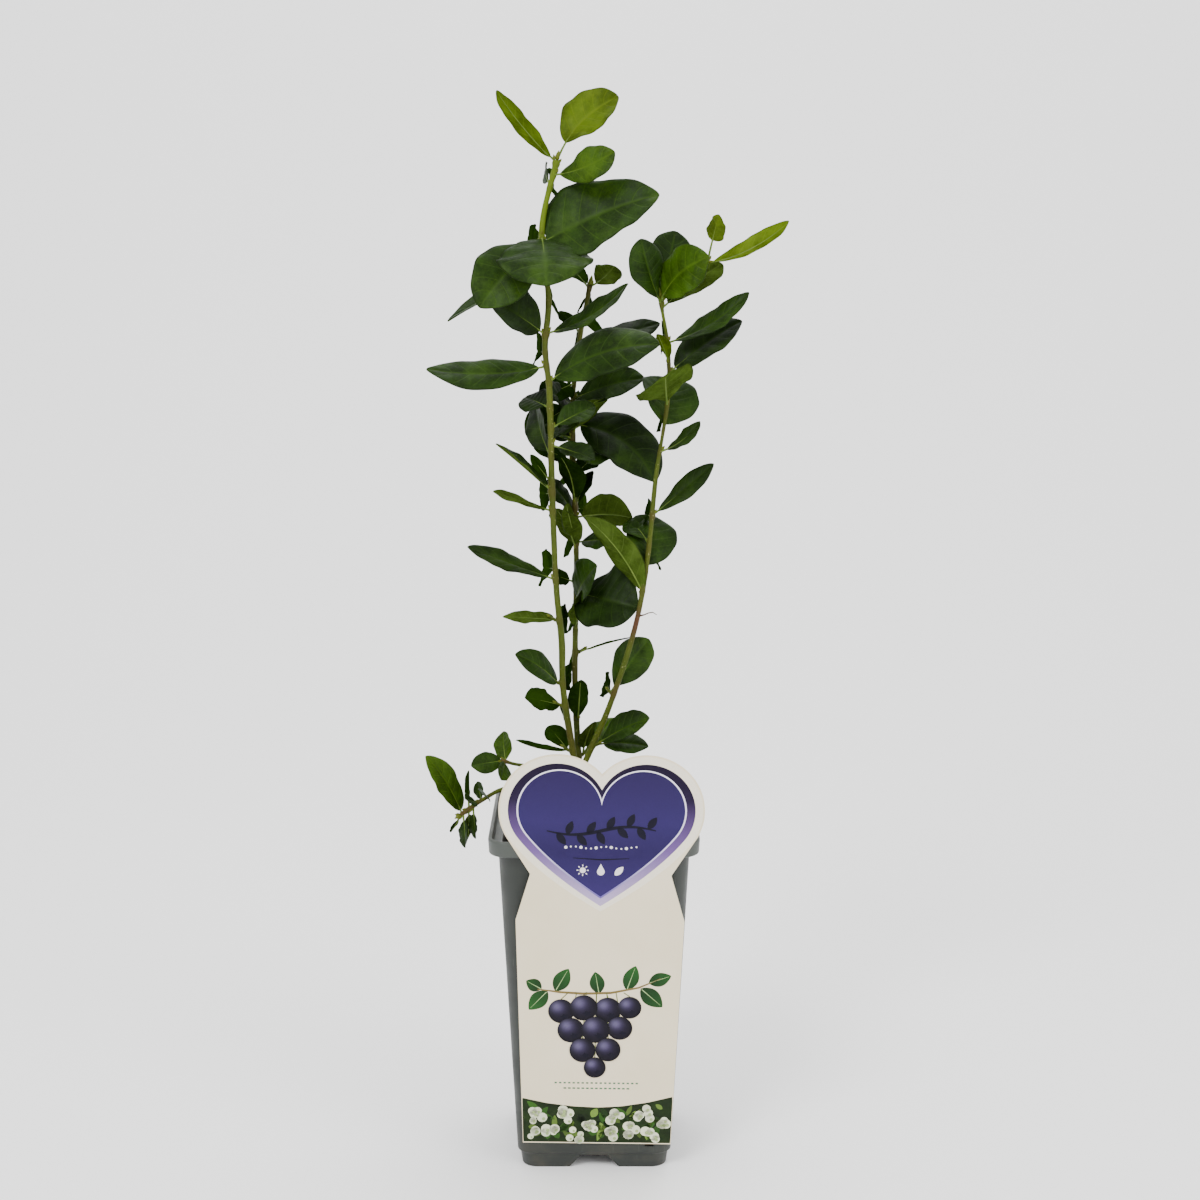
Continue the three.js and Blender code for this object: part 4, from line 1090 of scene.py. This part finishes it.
def build_pot():
    collar = POT_HEIGHT - COLLAR_HEIGHT
    k = POT_CORNER
    profile = [
        (0, BOSS_RADIUS, BOSS_RADIUS - 0.01),
        (FLOOR_UNDER, BOSS_RADIUS + 0.5, BOSS_RADIUS + 0.49),
        (FLOOR_UNDER, SKIRT_FOOT_HALF - WALL + 0.2, k - WALL),
        (0, SKIRT_FOOT_HALF - WALL, k - WALL),
        (0, SKIRT_FOOT_HALF, k),
        (SKIRT_HEIGHT, SKIRT_TOP_HALF, k),
        (SKIRT_HEIGHT + 1, outer_half(SKIRT_HEIGHT + 1), k),
        (collar, outer_half(collar), k + 1),
        (collar, RIM_HALF - 1, k + 2),
        (collar + 0.7, RIM_HALF - 0.4, k + 2),
        (POT_HEIGHT - 0.7, RIM_HALF, k + 2),
        (POT_HEIGHT, RIM_HALF - 0.6, k + 1.6),
        (POT_HEIGHT, RIM_HALF - WALL, k + 1),
        (POT_HEIGHT - 0.6, RIM_HALF - WALL - 0.5, k + 0.6),
        (collar + WALL, RIM_HALF - WALL - 0.8, k + 0.4),
        (collar + WALL, inner_half(collar + WALL), k - WALL),
        (FLOOR_TOP + 2, inner_half(FLOOR_TOP + 2), k - WALL),
        (FLOOR_TOP, SKIRT_TOP_HALF - WALL, k - WALL - 0.5),
    ]
    points, faces = loft([square_ring(*row) for row in rounded_profile(profile, 0.5)])
    pot = make_mesh("square_pot", points, faces)
    cut_points, cut_faces = [], []

    def cutter(points, faces):
        start = len(cut_points)
        cut_points.extend(points)
        cut_faces.extend(tuple(i + start for i in f) for f in faces)

    for side in range(4):
        turn = side * math.pi / 2
        low, high = NOTCH_FOOT / 2 + 0.9, NOTCH_TOP / 2
        outline = [(-low, -1), (low, -1), (high, NOTCH_HEIGHT), (-high, NOTCH_HEIGHT)]
        near, far = -(SKIRT_FOOT_HALF - WALL - 1.4), -(SKIRT_FOOT_HALF - WALL - 1.4) - 5
        shell = [(x, y, z) for y in (near, far) for x, z in outline]
        sides = [(0, 1, 2, 3), (7, 6, 5, 4)] + [(i, i + 4, (i + 1) % 4 + 4, (i + 1) % 4) for i in range(4)]
        cutter(turned(shell, turn), sides)
        box_points, box_faces = boxed(SLOT_WIDTH, 8, SLOT_HEIGHT, SLOT_ASIDE, -outer_half(SLOT_UP), SLOT_UP)
        cutter(turned(box_points, turn), box_faces)
    for i in range(DRAIN_COUNT):
        a = (i + 0.5) / DRAIN_COUNT * 2 * math.pi
        centre = np.array([DRAIN_RING * math.cos(a), DRAIN_RING * math.sin(a), 0])
        hole = [centre + [0, 0, FLOOR_TOP - 3], centre + [0, 0, FLOOR_TOP + 3]]
        made, hole_faces, _ = tube(hole, [DRAIN_RADIUS] * 2, 24)
        cutter([tuple(p) for p in made], hole_faces)
    tool = make_mesh("pot_cutter", cut_points, cut_faces)
    face_out(tool)
    cut = pot.modifiers.new("cut", "BOOLEAN")
    cut.object, cut.operation, cut.solver = tool, "DIFFERENCE", "EXACT"
    shape = bpy.data.meshes.new_from_object(pot.evaluated_get(bpy.context.evaluated_depsgraph_get()))
    pot.modifiers.clear()
    pot.data = shape
    bpy.data.objects.remove(tool)
    pot.data.set_sharp_from_angle(angle=rad(32))
    return pot


def pot_material():
    """Recycled plastic: a mid grey with a faint grain, painted light on the collar, painted shade just under
    it, fine scuffs, and dust low down.
    """
    material, tree, shader = new_material("pot_plastic", 0.5, 0.35)
    place = node(tree, "ShaderNodeTexCoord").outputs["Object"]
    height = node(tree, "ShaderNodeSeparateXYZ", {0: place}).outputs[2]
    mottle = ramp(tree, noise(tree, 22.0, 5.0, 0.6), 0.3, 0.7)
    body = blend(tree, mottle, linear(37, 40, 37), linear(45, 49, 45))
    # The collar and rim are painted a lighter grey: painted light on the rim.
    collar = ramp(tree, height, 0.169, 0.1715)
    body = blend(tree, collar, body, linear(64, 68, 64))
    # A darker band just under the collar is painted shade from its overhang.
    under_rim, over_body = ramp(tree, height, 0.163, 0.1695), ramp(tree, height, 0.1712, 0.1702)
    painted_shade_under_collar = calc(tree, "MULTIPLY", under_rim, over_body)
    body = blend(tree, calc(tree, "MULTIPLY", painted_shade_under_collar, 0.4), body, linear(24, 26, 24))
    low_down, patchy = ramp(tree, height, 0.03, 0.0, 0.0, 0.3), ramp(tree, noise(tree, 90.0, 4.0), 0.45, 0.65)
    dust = calc(tree, "MULTIPLY", low_down, patchy)
    body = blend(tree, dust, body, linear(74, 68, 56))
    long_way = node(tree, "ShaderNodeMapping", {"Vector": place, "Scale": (900.0, 900.0, 60.0)}).outputs[0]
    scuff = ramp(tree, noise(tree, 1.0, 2.0, 0.5, long_way), 0.66, 0.72, 0.0, 0.3)
    patches = ramp(tree, noise(tree, 16.0, 2.0), 0.5, 0.62)
    scuff = calc(tree, "MULTIPLY", scuff, patches)
    body = blend(tree, scuff, body, linear(76, 81, 76))
    paint(tree, shader, body)
    rough = ramp(tree, noise(tree, 60.0, 4.0), 0.3, 0.7, 0.42, 0.58)
    paint(tree, shader, rough, "Roughness")
    set_bump(tree, shader, noise(tree, 1400.0, 2.0), 0.00008, 0.6)
    return material


pot_piece = build_pot()
pot_piece.data.materials.clear()
pot_piece.data.materials.append(pot_material())
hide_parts("pot")
pieces.append(pot_piece)


# ------------------------------------------------------------------ compost
def compost_height(x, y):
    """Crumbs and clods over the source's low ruffles, flat where the woody base stands."""
    away = math.hypot(x - BASE_AT[0], y - BASE_AT[1]) - 9
    share = min(max(away / 8, 0), 1)
    ruffle = 0.8 * math.sin(x / 6.5 + 1) * math.cos(y / 5.5)
    here = Vector((x, y, 3.7))
    clods = field.noise(here * 0.16) * 2.2 + field.noise(here * 0.5) * 1.1 + field.noise(here * 1.3) * 0.5
    return COMPOST_TOP + share * (ruffle + clods) - (1 - share) * 0.1


def build_compost():
    corner = POT_CORNER - WALL - GAP
    edge = inner_half(COMPOST_TOP) - GAP - 0.1
    foot = FLOOR_TOP + GAP
    rings = [
        square_ring(foot, SKIRT_TOP_HALF - WALL - 2 * GAP - 0.2, corner - 0.5, 10, 40),
        square_ring(FLOOR_TOP + 2 + GAP, inner_half(FLOOR_TOP + 2) - GAP - 0.1, corner, 10, 40),
        square_ring(COMPOST_TOP - 3, inner_half(COMPOST_TOP - 3) - GAP - 0.1, corner, 10, 40),
    ]
    for k in range(46):
        share = 1 - (k + 0.5) / 46.5
        ring = square_ring(0, edge * share, min(corner, edge * share * 0.9), 10, 40)
        rings.append([(x, y, compost_height(x, y)) for x, y, _ in ring])
    points, faces = loft(rings)
    made = make_mesh("compost_fill", points, faces)
    bits = Builder()
    bit_dice = random.Random(COMPOST_SEED)
    for _ in range(420):
        x, y = bit_dice.uniform(-46, 46), bit_dice.uniform(-46, 46)
        if math.hypot(x - BASE_AT[0], y - BASE_AT[1]) < 10:
            continue
        long, thin = bit_dice.uniform(1.2, 4.6), bit_dice.uniform(0.35, 1.1)
        a, tip_up = bit_dice.uniform(0, math.pi), bit_dice.uniform(-0.25, 0.3)
        way = np.array([math.cos(a), math.sin(a), tip_up])
        start = np.array([x, y, compost_height(x, y) + 0.1])
        end = start + way * long
        if max(abs(end[0]), abs(end[1])) > 46:
            continue
        bend = start * 0.5 + end * 0.5 + [0, 0, bit_dice.uniform(-0.2, 0.3)]
        kind = 1 if bit_dice.random() < 0.1 else 0
        girths = [thin * 0.7, thin, thin * 0.4]
        bits.rod([start, bend, end], girths, 6, kind, bit_dice.uniform(0.6, 1.3))
    return made, bits


def soil_material(name, low, high, scale):
    material, tree, shader = new_material(name, 0.92, 0.25)
    mottle = ramp(tree, noise(tree, scale, 6.0, 0.65), 0.3, 0.7)
    paint(tree, shader, blend(tree, mottle, low, high))
    set_bump(tree, shader, noise(tree, 900.0, 4.0), 0.0006, 1.0)
    return material


compost_piece, bit_builder = build_compost()
soil = soil_material("compost_soil", linear(38, 26, 19), linear(74, 54, 38), 260.0)
compost_piece.data.materials.append(soil)
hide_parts("compost")
bit_piece = bit_builder.build(
    "compost_bits",
    [
        soil_material("bark_bit", linear(70, 48, 32), linear(112, 82, 56), 300.0),
        soil_material("pale_bit", linear(150, 138, 118), linear(190, 180, 160), 300.0),
    ],
)
pieces += [compost_piece, bit_piece]

# ------------------------------------------------------------------ label card
card_foot_y = -(outer_half(CARD_FOOT) + GAP)
card_slope = math.atan((RIM_HALF + GAP + card_foot_y) / (POT_HEIGHT - 0.7 - CARD_FOOT))


def on_card(x, h, out):
    """The place of a point x aside and h up the card, out in front of its back."""
    c, s = math.cos(rad(CARD_LEAN)), math.sin(rad(CARD_LEAN))
    x, y, z = x * c + h * s, -out, -x * s + h * c
    c, s = math.cos(card_slope), math.sin(card_slope)
    y, z = y * c - z * s, y * s + z * c
    return x + CARD_ASIDE, y + card_foot_y, z + CARD_FOOT


def arc(cx, cy, radius, start, end, steps):
    turns = [start + (end - start) * i / steps for i in range(steps + 1)]
    return [(cx + radius * math.cos(t), cy + radius * math.sin(t)) for t in turns]


def heart(aside, height, radius, tip, steps=36):
    """A heart: two round lobes, and flanks that curve to a point at the foot."""
    cleft = math.asin(min(aside / radius, 1))
    flank = rad(-38)
    right = arc(aside, height, radius, flank, math.pi / 2 + cleft, steps)
    hx, hy = right[0]
    reach = (hy - tip) * 0.62
    control = np.array([hx, hy]) + np.array([-math.sin(-flank), -math.cos(flank)]) * reach
    curve = []
    for i in range(1, 15):
        t = i / 15
        p = (1 - t) ** 2 * np.array([0, tip]) + 2 * t * (1 - t) * control + t * t * np.array([hx, hy])
        curve.append(tuple(p))
    left = [(-x, y) for x, y in right[::-1]]
    return [(0, tip)] + curve + right + left[1:] + [(-x, y) for x, y in curve[::-1]]


def card_outline():
    top = LOBE_HEIGHT - CARD_FOOT
    cleft, flank = math.asin(LOBE_ASIDE / LOBE_RADIUS), rad(-28)
    right = arc(LOBE_ASIDE, top, LOBE_RADIUS, flank, math.pi / 2 + cleft, 48)
    side = [(CARD_SHOULDER_HALF, CARD_SHOULDER - CARD_FOOT), (CARD_NECK_HALF, CARD_NECK - CARD_FOOT)]
    half = [(CARD_FOOT_HALF, 0)] + side + right
    return half + [(-x, y) for x, y in half[::-1][1:]]


PRINT_STEP, PRINT_SUNK = 0.03, 0.15  # each level stands this proud, and roots this deep


class Prints:
    """Closed thin layers of print on the card's front, coloured point by point."""

    def __init__(self):
        self.points, self.faces, self.inks = [], [], []

    def layer(self, rings, ink, level, middle=None):
        """Rings of one length, the outer one first; middle closes the last to a point."""
        front, back = CARD_THICK + PRINT_STEP * level, CARD_THICK - PRINT_SUNK
        start, count = len(self.points), len(rings[0])
        flat = [p for ring in rings for p in ring] + ([middle] if middle else [])
        total = len(flat)
        for out in (front, back):
            for x, h in flat:
                self.points.append(on_card(x, h, out))
                self.inks.append(ink(x, h))
        for r in range(len(rings) - 1):
            for i in range(count):
                a, b = start + r * count + i, start + r * count + (i + 1) % count
                self.faces.append((a, b, b + count, a + count))
                self.faces.append((a + total, a + count + total, b + count + total, b + total))
        last = start + (len(rings) - 1) * count
        for i in range(count):
            a, b = start + i, start + (i + 1) % count
            self.faces.append((a, a + total, b + total, b))
            a, b = last + i, last + (i + 1) % count
            if middle:
                hub = start + total - 1
                self.faces += [(a, b, hub), (b + total, a + total, hub + total)]
            else:
                self.faces.append((a, b, b + total, a + total))

    def shape(self, outline, ink, level, rings=1, middle=None):
        middle = middle or tuple(np.mean(np.array(outline), axis=0))
        shrunk = []
        for k in range(rings):
            t = k / rings
            shrunk.append([(lerp(x, middle[0], t), lerp(h, middle[1], t)) for x, h in outline])
        self.layer(shrunk, ink, level, middle)

    def band(self, outer, inner, ink, level, steps=3):
        rings = []
        for t in [k / steps for k in range(steps + 1)]:
            rings.append([(lerp(a[0], b[0], t), lerp(a[1], b[1], t)) for a, b in zip(outer, inner)])
        self.layer(rings, ink, level)

    def line(self, path, width, ink, level):
        """A stroke along a path, with pointed or blunt ends by its widths."""
        path = np.array(path, float)
        ways = np.gradient(path, axis=0)
        ways /= np.linalg.norm(ways, axis=1)[:, None]
        sides = np.stack([-ways[:, 1], ways[:, 0]], axis=1)
        half = np.broadcast_to(np.asarray(width, float) / 2, (len(path),))[:, None]
        left, right = path + sides * half, path - sides * half
        start = len(self.points)
        front, back = CARD_THICK + PRINT_STEP * level, CARD_THICK - PRINT_SUNK
        for x, h in (*left, *right):
            for out in (front, back):
                self.points.append(on_card(x, h, out))
                self.inks.append(ink(x, h))
        n = len(path)

        def corner(side, i, deep):
            return start + 2 * (side * n + i) + deep

        for i in range(n - 1):
            a = [corner(s, i + e, d) for s in (0, 1) for e in (0, 1) for d in (0, 1)]
            l0, l0b, l1, l1b, r0, r0b, r1, r1b = a
            self.faces += [(l0, r0, r1, l1), (l0b, l1b, r1b, r0b), (l0, l1, l1b, l0b), (r0, r0b, r1b, r1)]
        for i, order in ((0, (0, 1, 3, 2)), (n - 1, (0, 2, 3, 1))):
            ends = [corner(0, i, 0), corner(0, i, 1), corner(1, i, 0), corner(1, i, 1)]
            self.faces.append(tuple(ends[k] for k in order))

    def build(self, name, material):
        made = make_mesh(name, self.points, self.faces, smooth=False)
        ink = made.data.color_attributes.new("ink", "FLOAT_COLOR", "POINT")
        ink.data.foreach_set("color", np.array(self.inks, np.float32).ravel())
        made.data.materials.append(material)
        return made


def plain(*rgb):
    colour = linear(*rgb)
    return lambda x, h: colour


def shade(*stops):
    """Ink that runs up the card through (height, colour) stops."""
    heights = [s[0] for s in stops]
    colours = np.array([linear(*s[1]) for s in stops])
    return lambda x, h: tuple(np.interp(h, heights, colours[:, i]) for i in range(4))


deep, white = plain(10, 8, 26), plain(226, 221, 224)
PANEL_HUB = (0, 172)
prints = Prints()
lobe_h = LOBE_HEIGHT - CARD_FOOT
# The heart panel: a bright border, a shaded ribbon between two hearts, and a pale line.
prints.shape(heart(21.9, lobe_h, 28.2, 128.6), plain(234, 226, 206), 1, 2, PANEL_HUB)
outer = heart(21.9, lobe_h, 24.4, 131.4)
inner = heart(20.6, lobe_h, 21.4, 135.5)
ribbon = shade((130, (176, 160, 196)), (160, (104, 78, 136)), (188, (22, 8, 40)), (208, (16, 4, 32)))
prints.shape(outer, ribbon, 2, 3, PANEL_HUB)
pale_line = shade((136, (96, 80, 152)), (166, (206, 198, 226)), (204, (228, 224, 238)))
prints.band(inner, heart(20.5, lobe_h, 20.7, 136.5), pale_line, 4, 1)
panel = shade((136, (46, 34, 88)), (160, (34, 24, 70)), (176, (42, 31, 82)), (202, (35, 24, 68)))
prints.shape(heart(20.6, lobe_h, 21.1, 135.9), panel, 3, 4, PANEL_HUB)


def leaf_outline(x, h, way, length, width, steps=10):
    """A pointed leaf printed flat, from its stalk end."""
    c, s = math.cos(rad(way)), math.sin(rad(way))
    up = [(t, width / 2 * math.sin(math.pi * t**0.9) ** 0.8) for t in np.linspace(0, 1, steps + 1)[1:-1]]
    right, left = [(t * length, -w) for t, w in up], [(t * length, w) for t, w in up[::-1]]
    rows = [(0, 0)] + right + [(length, 0)] + left
    return [(x + a * c - b * s, h + a * s + b * c) for a, b in rows]


def disc(x, h, radius, steps=20):
    turns = [2 * math.pi * k / steps for k in range(steps)]
    return [(x + radius * math.cos(t), h + radius * math.sin(t)) for t in turns]


# A dark flourish of leaves along a curved stem stands where a title would.
flourish = [(x, 171.5 + 2.2 * math.sin(x / 9.0)) for x in np.linspace(-27, 27, 40)]
prints.line(flourish, [0.6 + 1.2 * math.sin(math.pi * k / 39) for k in range(40)], deep, 5)
for k, x in enumerate(range(-22, 25, 5)):
    h = 171.5 + 2.2 * math.sin(x / 9.0)
    way = (62 if k % 2 else -54) + 8 * math.sin(x)
    prints.shape(leaf_outline(x, h, way, 7.6, 3.8), deep, 5)
for k in range(15):
    prints.shape(disc(-17.5 + 2.5 * k, 162.6 + 0.5 * math.sin(k), 0.45 if k % 3 else 0.8, 12), white, 5)
# Three small signs: sun, drop and leaf.
prints.shape(disc(-9, 150.5, 1.5), white, 5)
for k in range(8):
    a = k * math.pi / 4
    path = [(-9 + r * math.cos(a), 150.5 + r * math.sin(a)) for r in (2.1, 3.0)]
    prints.line(path, 0.5, white, 5)
prints.shape([(0, 154)] + arc(0, 149.8, 1.9, rad(30), rad(-210), 14), white, 5, 1, (0, 150))
prints.shape(leaf_outline(7, 148, 48, 6.2, 3.2), white, 5)
prints.line([(-14, 157), (0, 156.2), (14, 157)], [0.3, 0.7, 0.3], deep, 5)

# A hanging sprig of berries on the body of the card.
art_dice = random.Random(ART_SEED)


def berry(x, h, radius, level):
    def ink(px, ph):
        d = math.hypot(px - x, ph - h) / radius
        aside, above = (px - x + 0.35 * radius) / (0.55 * radius), (ph - h - 0.4 * radius) / (0.5 * radius)
        lit = math.exp(-(aside**2) - above**2)
        base = np.array([22, 16, 34]) * (1 - 0.6 * d * d) + np.array([70, 68, 84]) * lit
        return linear(*np.clip(base, 0, 255))

    prints.shape(disc(x, h, radius, 28), ink, level, 5)
    crown = []
    for k in range(10):
        r = radius * (0.36 if k % 2 else 0.2)
        a = 2 * math.pi * k / 10
        crown.append((x + 0.25 * radius + r * math.cos(a), h - 0.42 * radius + 0.7 * r * math.sin(a)))
    prints.shape(crown, plain(12, 10, 26), level + 1, 1)


def printed_leaf(x, h, way, length, width, tone, level):
    def ink(px, ph):
        along = ((px - x) * math.cos(rad(way)) + (ph - h) * math.sin(rad(way))) / length
        base = np.array([24, 58, 22]) * tone * (0.8 + 0.5 * along)
        return linear(*np.clip(base, 0, 255))

    prints.shape(leaf_outline(x, h, way, length, width, 16), ink, level, 3)
    c, s = math.cos(rad(way)), math.sin(rad(way))
    vein = [(x + t * length * c, h + t * length * s) for t in np.linspace(0.05, 0.9, 8)]
    prints.line(vein, np.linspace(0.45, 0.12, 8), plain(150, 176, 120), level + 1)


stem_path = [(-31, 86), (-20, 84.5), (-8, 83.8), (6, 84.4), (20, 87.4), (31, 92.5)]
prints.line(stem_path, [0.5, 1.1, 1.3, 1.2, 0.9, 0.4], plain(112, 96, 58), 3)
for x, h, way, length, width, tone in (
    (-29, 86, 150, 9, 7, 0.9), (-22, 85, 62, 14, 8.4, 1.05), (0, 84, 100, 12, 7.6, 0.95),
    (14, 86, 72, 14, 8, 1.1), (25, 90, 20, 12, 7.4, 1.0), (21, 87, -42, 15, 9, 0.9),
    (-26, 85, 228, 14, 8.6, 1.1),
):
    printed_leaf(x, h, way, length, width, tone, 2)
for x, h, radius, level in (
    (-19, 74, 6.6, 5), (-7.6, 76, 7, 7), (4.6, 75, 6.8, 5), (15.6, 76.4, 6, 7), (-14, 63.6, 6.8, 9),
    (-1.4, 64, 7.2, 11), (10.8, 65, 6.4, 9), (-8, 52.6, 6.6, 13), (5, 53, 6.4, 15), (-1.6, 43, 5.6, 17),
):
    prints.line([(x, h + radius), (x * 0.8, 84.6)], 0.5, plain(104, 112, 60), 3)
    berry(x, h, radius, level)

# Two dashed lines, and a strip of blossom at the foot.
for first, count, dash, h in ((-22, 19, 1.2, 34.2), (-17.4, 15, 1.4, 31.2)):
    for k in range(count):
        prints.line([(first + 2.3 * k, h), (first + dash + 2.3 * k, h)], 0.8, plain(70, 108, 78), 2)
strip_top = [(-38.6, 25.4), (-26, 22.6), (-12, 20.9), (0, 20.4), (12, 21.2), (26, 23.6), (38.6, 27.0)]
half_low = np.interp(np.linspace(0.6, 20, 9), [0, 123.4], [CARD_FOOT_HALF, CARD_SHOULDER_HALF]) - 0.25
strip = [(x, 0.6) for x in np.linspace(-37.7, 37.7, 30)]
strip += [(w, h) for w, h in zip(half_low[1:], np.linspace(0.6, 24, 9)[1:])]
top_x, top_h = zip(*strip_top)
strip += [(x, float(np.interp(x, top_x, top_h))) for x in np.linspace(38.3, -38.3, 40)]
strip += [(-w, h) for w, h in zip(half_low[1:][::-1], np.linspace(0.6, 24, 9)[1:][::-1])]


def strip_ink(x, h):
    t = 0.5 + 0.5 * field.noise(Vector((x * 0.22, h * 0.3, 5.1)))
    u = 0.5 + 0.5 * field.noise(Vector((x * 0.6, h * 0.7, 1.1)))
    return linear(8 + 20 * t + 8 * u, 14 + 32 * t + 12 * u, 6 + 9 * t)


prints.shape(strip, strip_ink, 1, 9, (0, 11))
GREENS = [(40, 72, 22), (84, 108, 44), (20, 38, 12)]
for k in range(90):
    x, h = art_dice.uniform(-36, 35), art_dice.uniform(2, 21)
    green = np.array(art_dice.choice(GREENS)) * art_dice.uniform(0.6, 1.25)
    blade = leaf_outline(x, h, art_dice.uniform(0, 360), art_dice.uniform(4, 9), art_dice.uniform(2, 4))
    if all(abs(bx) < 36.8 and 1 < bh < np.interp(bx, top_x, top_h) - 0.4 for bx, bh in blade):
        prints.shape(blade, plain(*green), 2)
for cx, ch, count in (
    (-31, 15, 6), (-32, 5, 4), (-23, 8, 5), (-16, 16, 6), (-11, 5, 5), (-4, 11, 7),
    (5, 5, 5), (9, 15, 6), (17, 8, 6), (24, 17, 6), (27, 6, 5), (33, 12, 5),
):
    for k in range(count):
        x, h = cx + art_dice.uniform(-3.4, 3.4), ch + art_dice.uniform(-3.2, 3.2)
        r = art_dice.uniform(1.6, 2.7)
        tone = art_dice.uniform(0.86, 1.0)
        prints.shape(disc(x, h, r, 12), plain(222 * tone, 226 * tone, 196 * tone), 3)
        prints.shape(disc(x + 0.3 * r, h - 0.3 * r, r * 0.35, 8), plain(150, 168, 112), 4)

card_outer = card_outline()
card_points = [on_card(x, h, out) for out in (0, CARD_THICK) for x, h in card_outer]
n = len(card_outer)
card_faces = [tuple(range(n)), tuple(range(n, 2 * n))[::-1]]
card_faces += [(i, i + n, (i + 1) % n + n, (i + 1) % n) for i in range(n)]
card = make_mesh("card", card_points, card_faces, smooth=False)
face_out(card)
card_stock, card_tree, card_shader = new_material("card_stock", 0.42, 0.25)
stock_mix = ramp(card_tree, noise(card_tree, 30.0, 3.0), 0.3, 0.7)
paint(card_tree, card_shader, blend(card_tree, stock_mix, linear(226, 212, 180), linear(231, 218, 189)))
set_bump(card_tree, card_shader, noise(card_tree, 500.0, 2.0), 0.00003, 0.5)
card.data.materials.append(card_stock)
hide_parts("label_card")
print_ink, ink_tree, ink_shader = new_material("print_ink", 0.4, 0.15)
ink = node(ink_tree, "ShaderNodeAttribute", attribute_name="ink").outputs["Color"]
ink_grain = ramp(ink_tree, noise(ink_tree, 1500.0, 2.0), 0.3, 0.7, 0.96, 1.04)
grained = node(ink_tree, "ShaderNodeVectorMath", {0: ink, "Scale": ink_grain}, operation="SCALE").outputs[0]
paint(ink_tree, ink_shader, grained)
print_piece = prints.build("card_print", print_ink)
pieces += [card, print_piece]

for piece in pieces:
    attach(piece, "root")

# ------------------------------------------------------------------ stage, light and camera
def stage_sheet(name, points, faces, colour):
    made = make_mesh(name, points, faces, smooth=True)
    material, _, shader = new_material(name + "_paint", 0.75, 0.2)
    shader.inputs["Base Color"].default_value = colour
    made.data.materials.append(material)


bend = np.linspace(0.1, math.pi / 2, 14)
sweep_rows = [(-3000, 0), (700, 0)] + [(700 + 600 * math.sin(a), 600 - 600 * math.cos(a)) for a in bend]
sweep_rows += [(1300, 3200)]
sweep_points = [(x, y, z) for y, z in sweep_rows for x in (-4000, 4000)]
sweep_faces = [(2 * i, 2 * i + 1, 2 * i + 3, 2 * i + 2) for i in range(len(sweep_rows) - 1)]
stage_sheet("backdrop", sweep_points, sweep_faces, linear(252, 252, 252))

world = bpy.data.worlds.new("studio")
bpy.context.scene.world = world
world.use_nodes = True
world.node_tree.nodes["Background"].inputs[0].default_value = (1, 1, 1, 1)
world.node_tree.nodes["Background"].inputs[1].default_value = 1.15


def soft_light(name, place, target, size, power):
    light = bpy.data.lights.new(name, "AREA")
    light.shape, light.size, light.energy = "DISK", size, power
    made = bpy.data.objects.new(name, light)
    made.location = place
    made.rotation_euler = (Vector(target) - Vector(place)).to_track_quat("-Z", "Y").to_euler()
    bpy.context.scene.collection.objects.link(made)


soft_light("key", (-0.9, -1.5, 1.9), (0, 0, 0.3), 0.9, 40)
soft_light("fill", (1.4, -1.2, 1.0), (0, 0, 0.3), 1.1, 16)
soft_light("top", (0.1, 0.5, 1.9), (0, 0, 0.35), 1.0, 18)

LENS, SENSOR = 62.91, 36
CAMERA_AT, CAMERA_DOWN = (0.003, -1.053, 0.4827), 0.1797  # the photo's place, in metres and radians
camera_data = bpy.data.cameras.new("front")
camera_data.lens, camera_data.sensor_width = LENS, SENSOR
camera_data.clip_start = 0.05
camera = bpy.data.objects.new("front", camera_data)
camera.location = CAMERA_AT
camera.rotation_euler = (math.pi / 2 - CAMERA_DOWN, 0, 0)
bpy.context.scene.collection.objects.link(camera)
bpy.context.scene.camera = camera
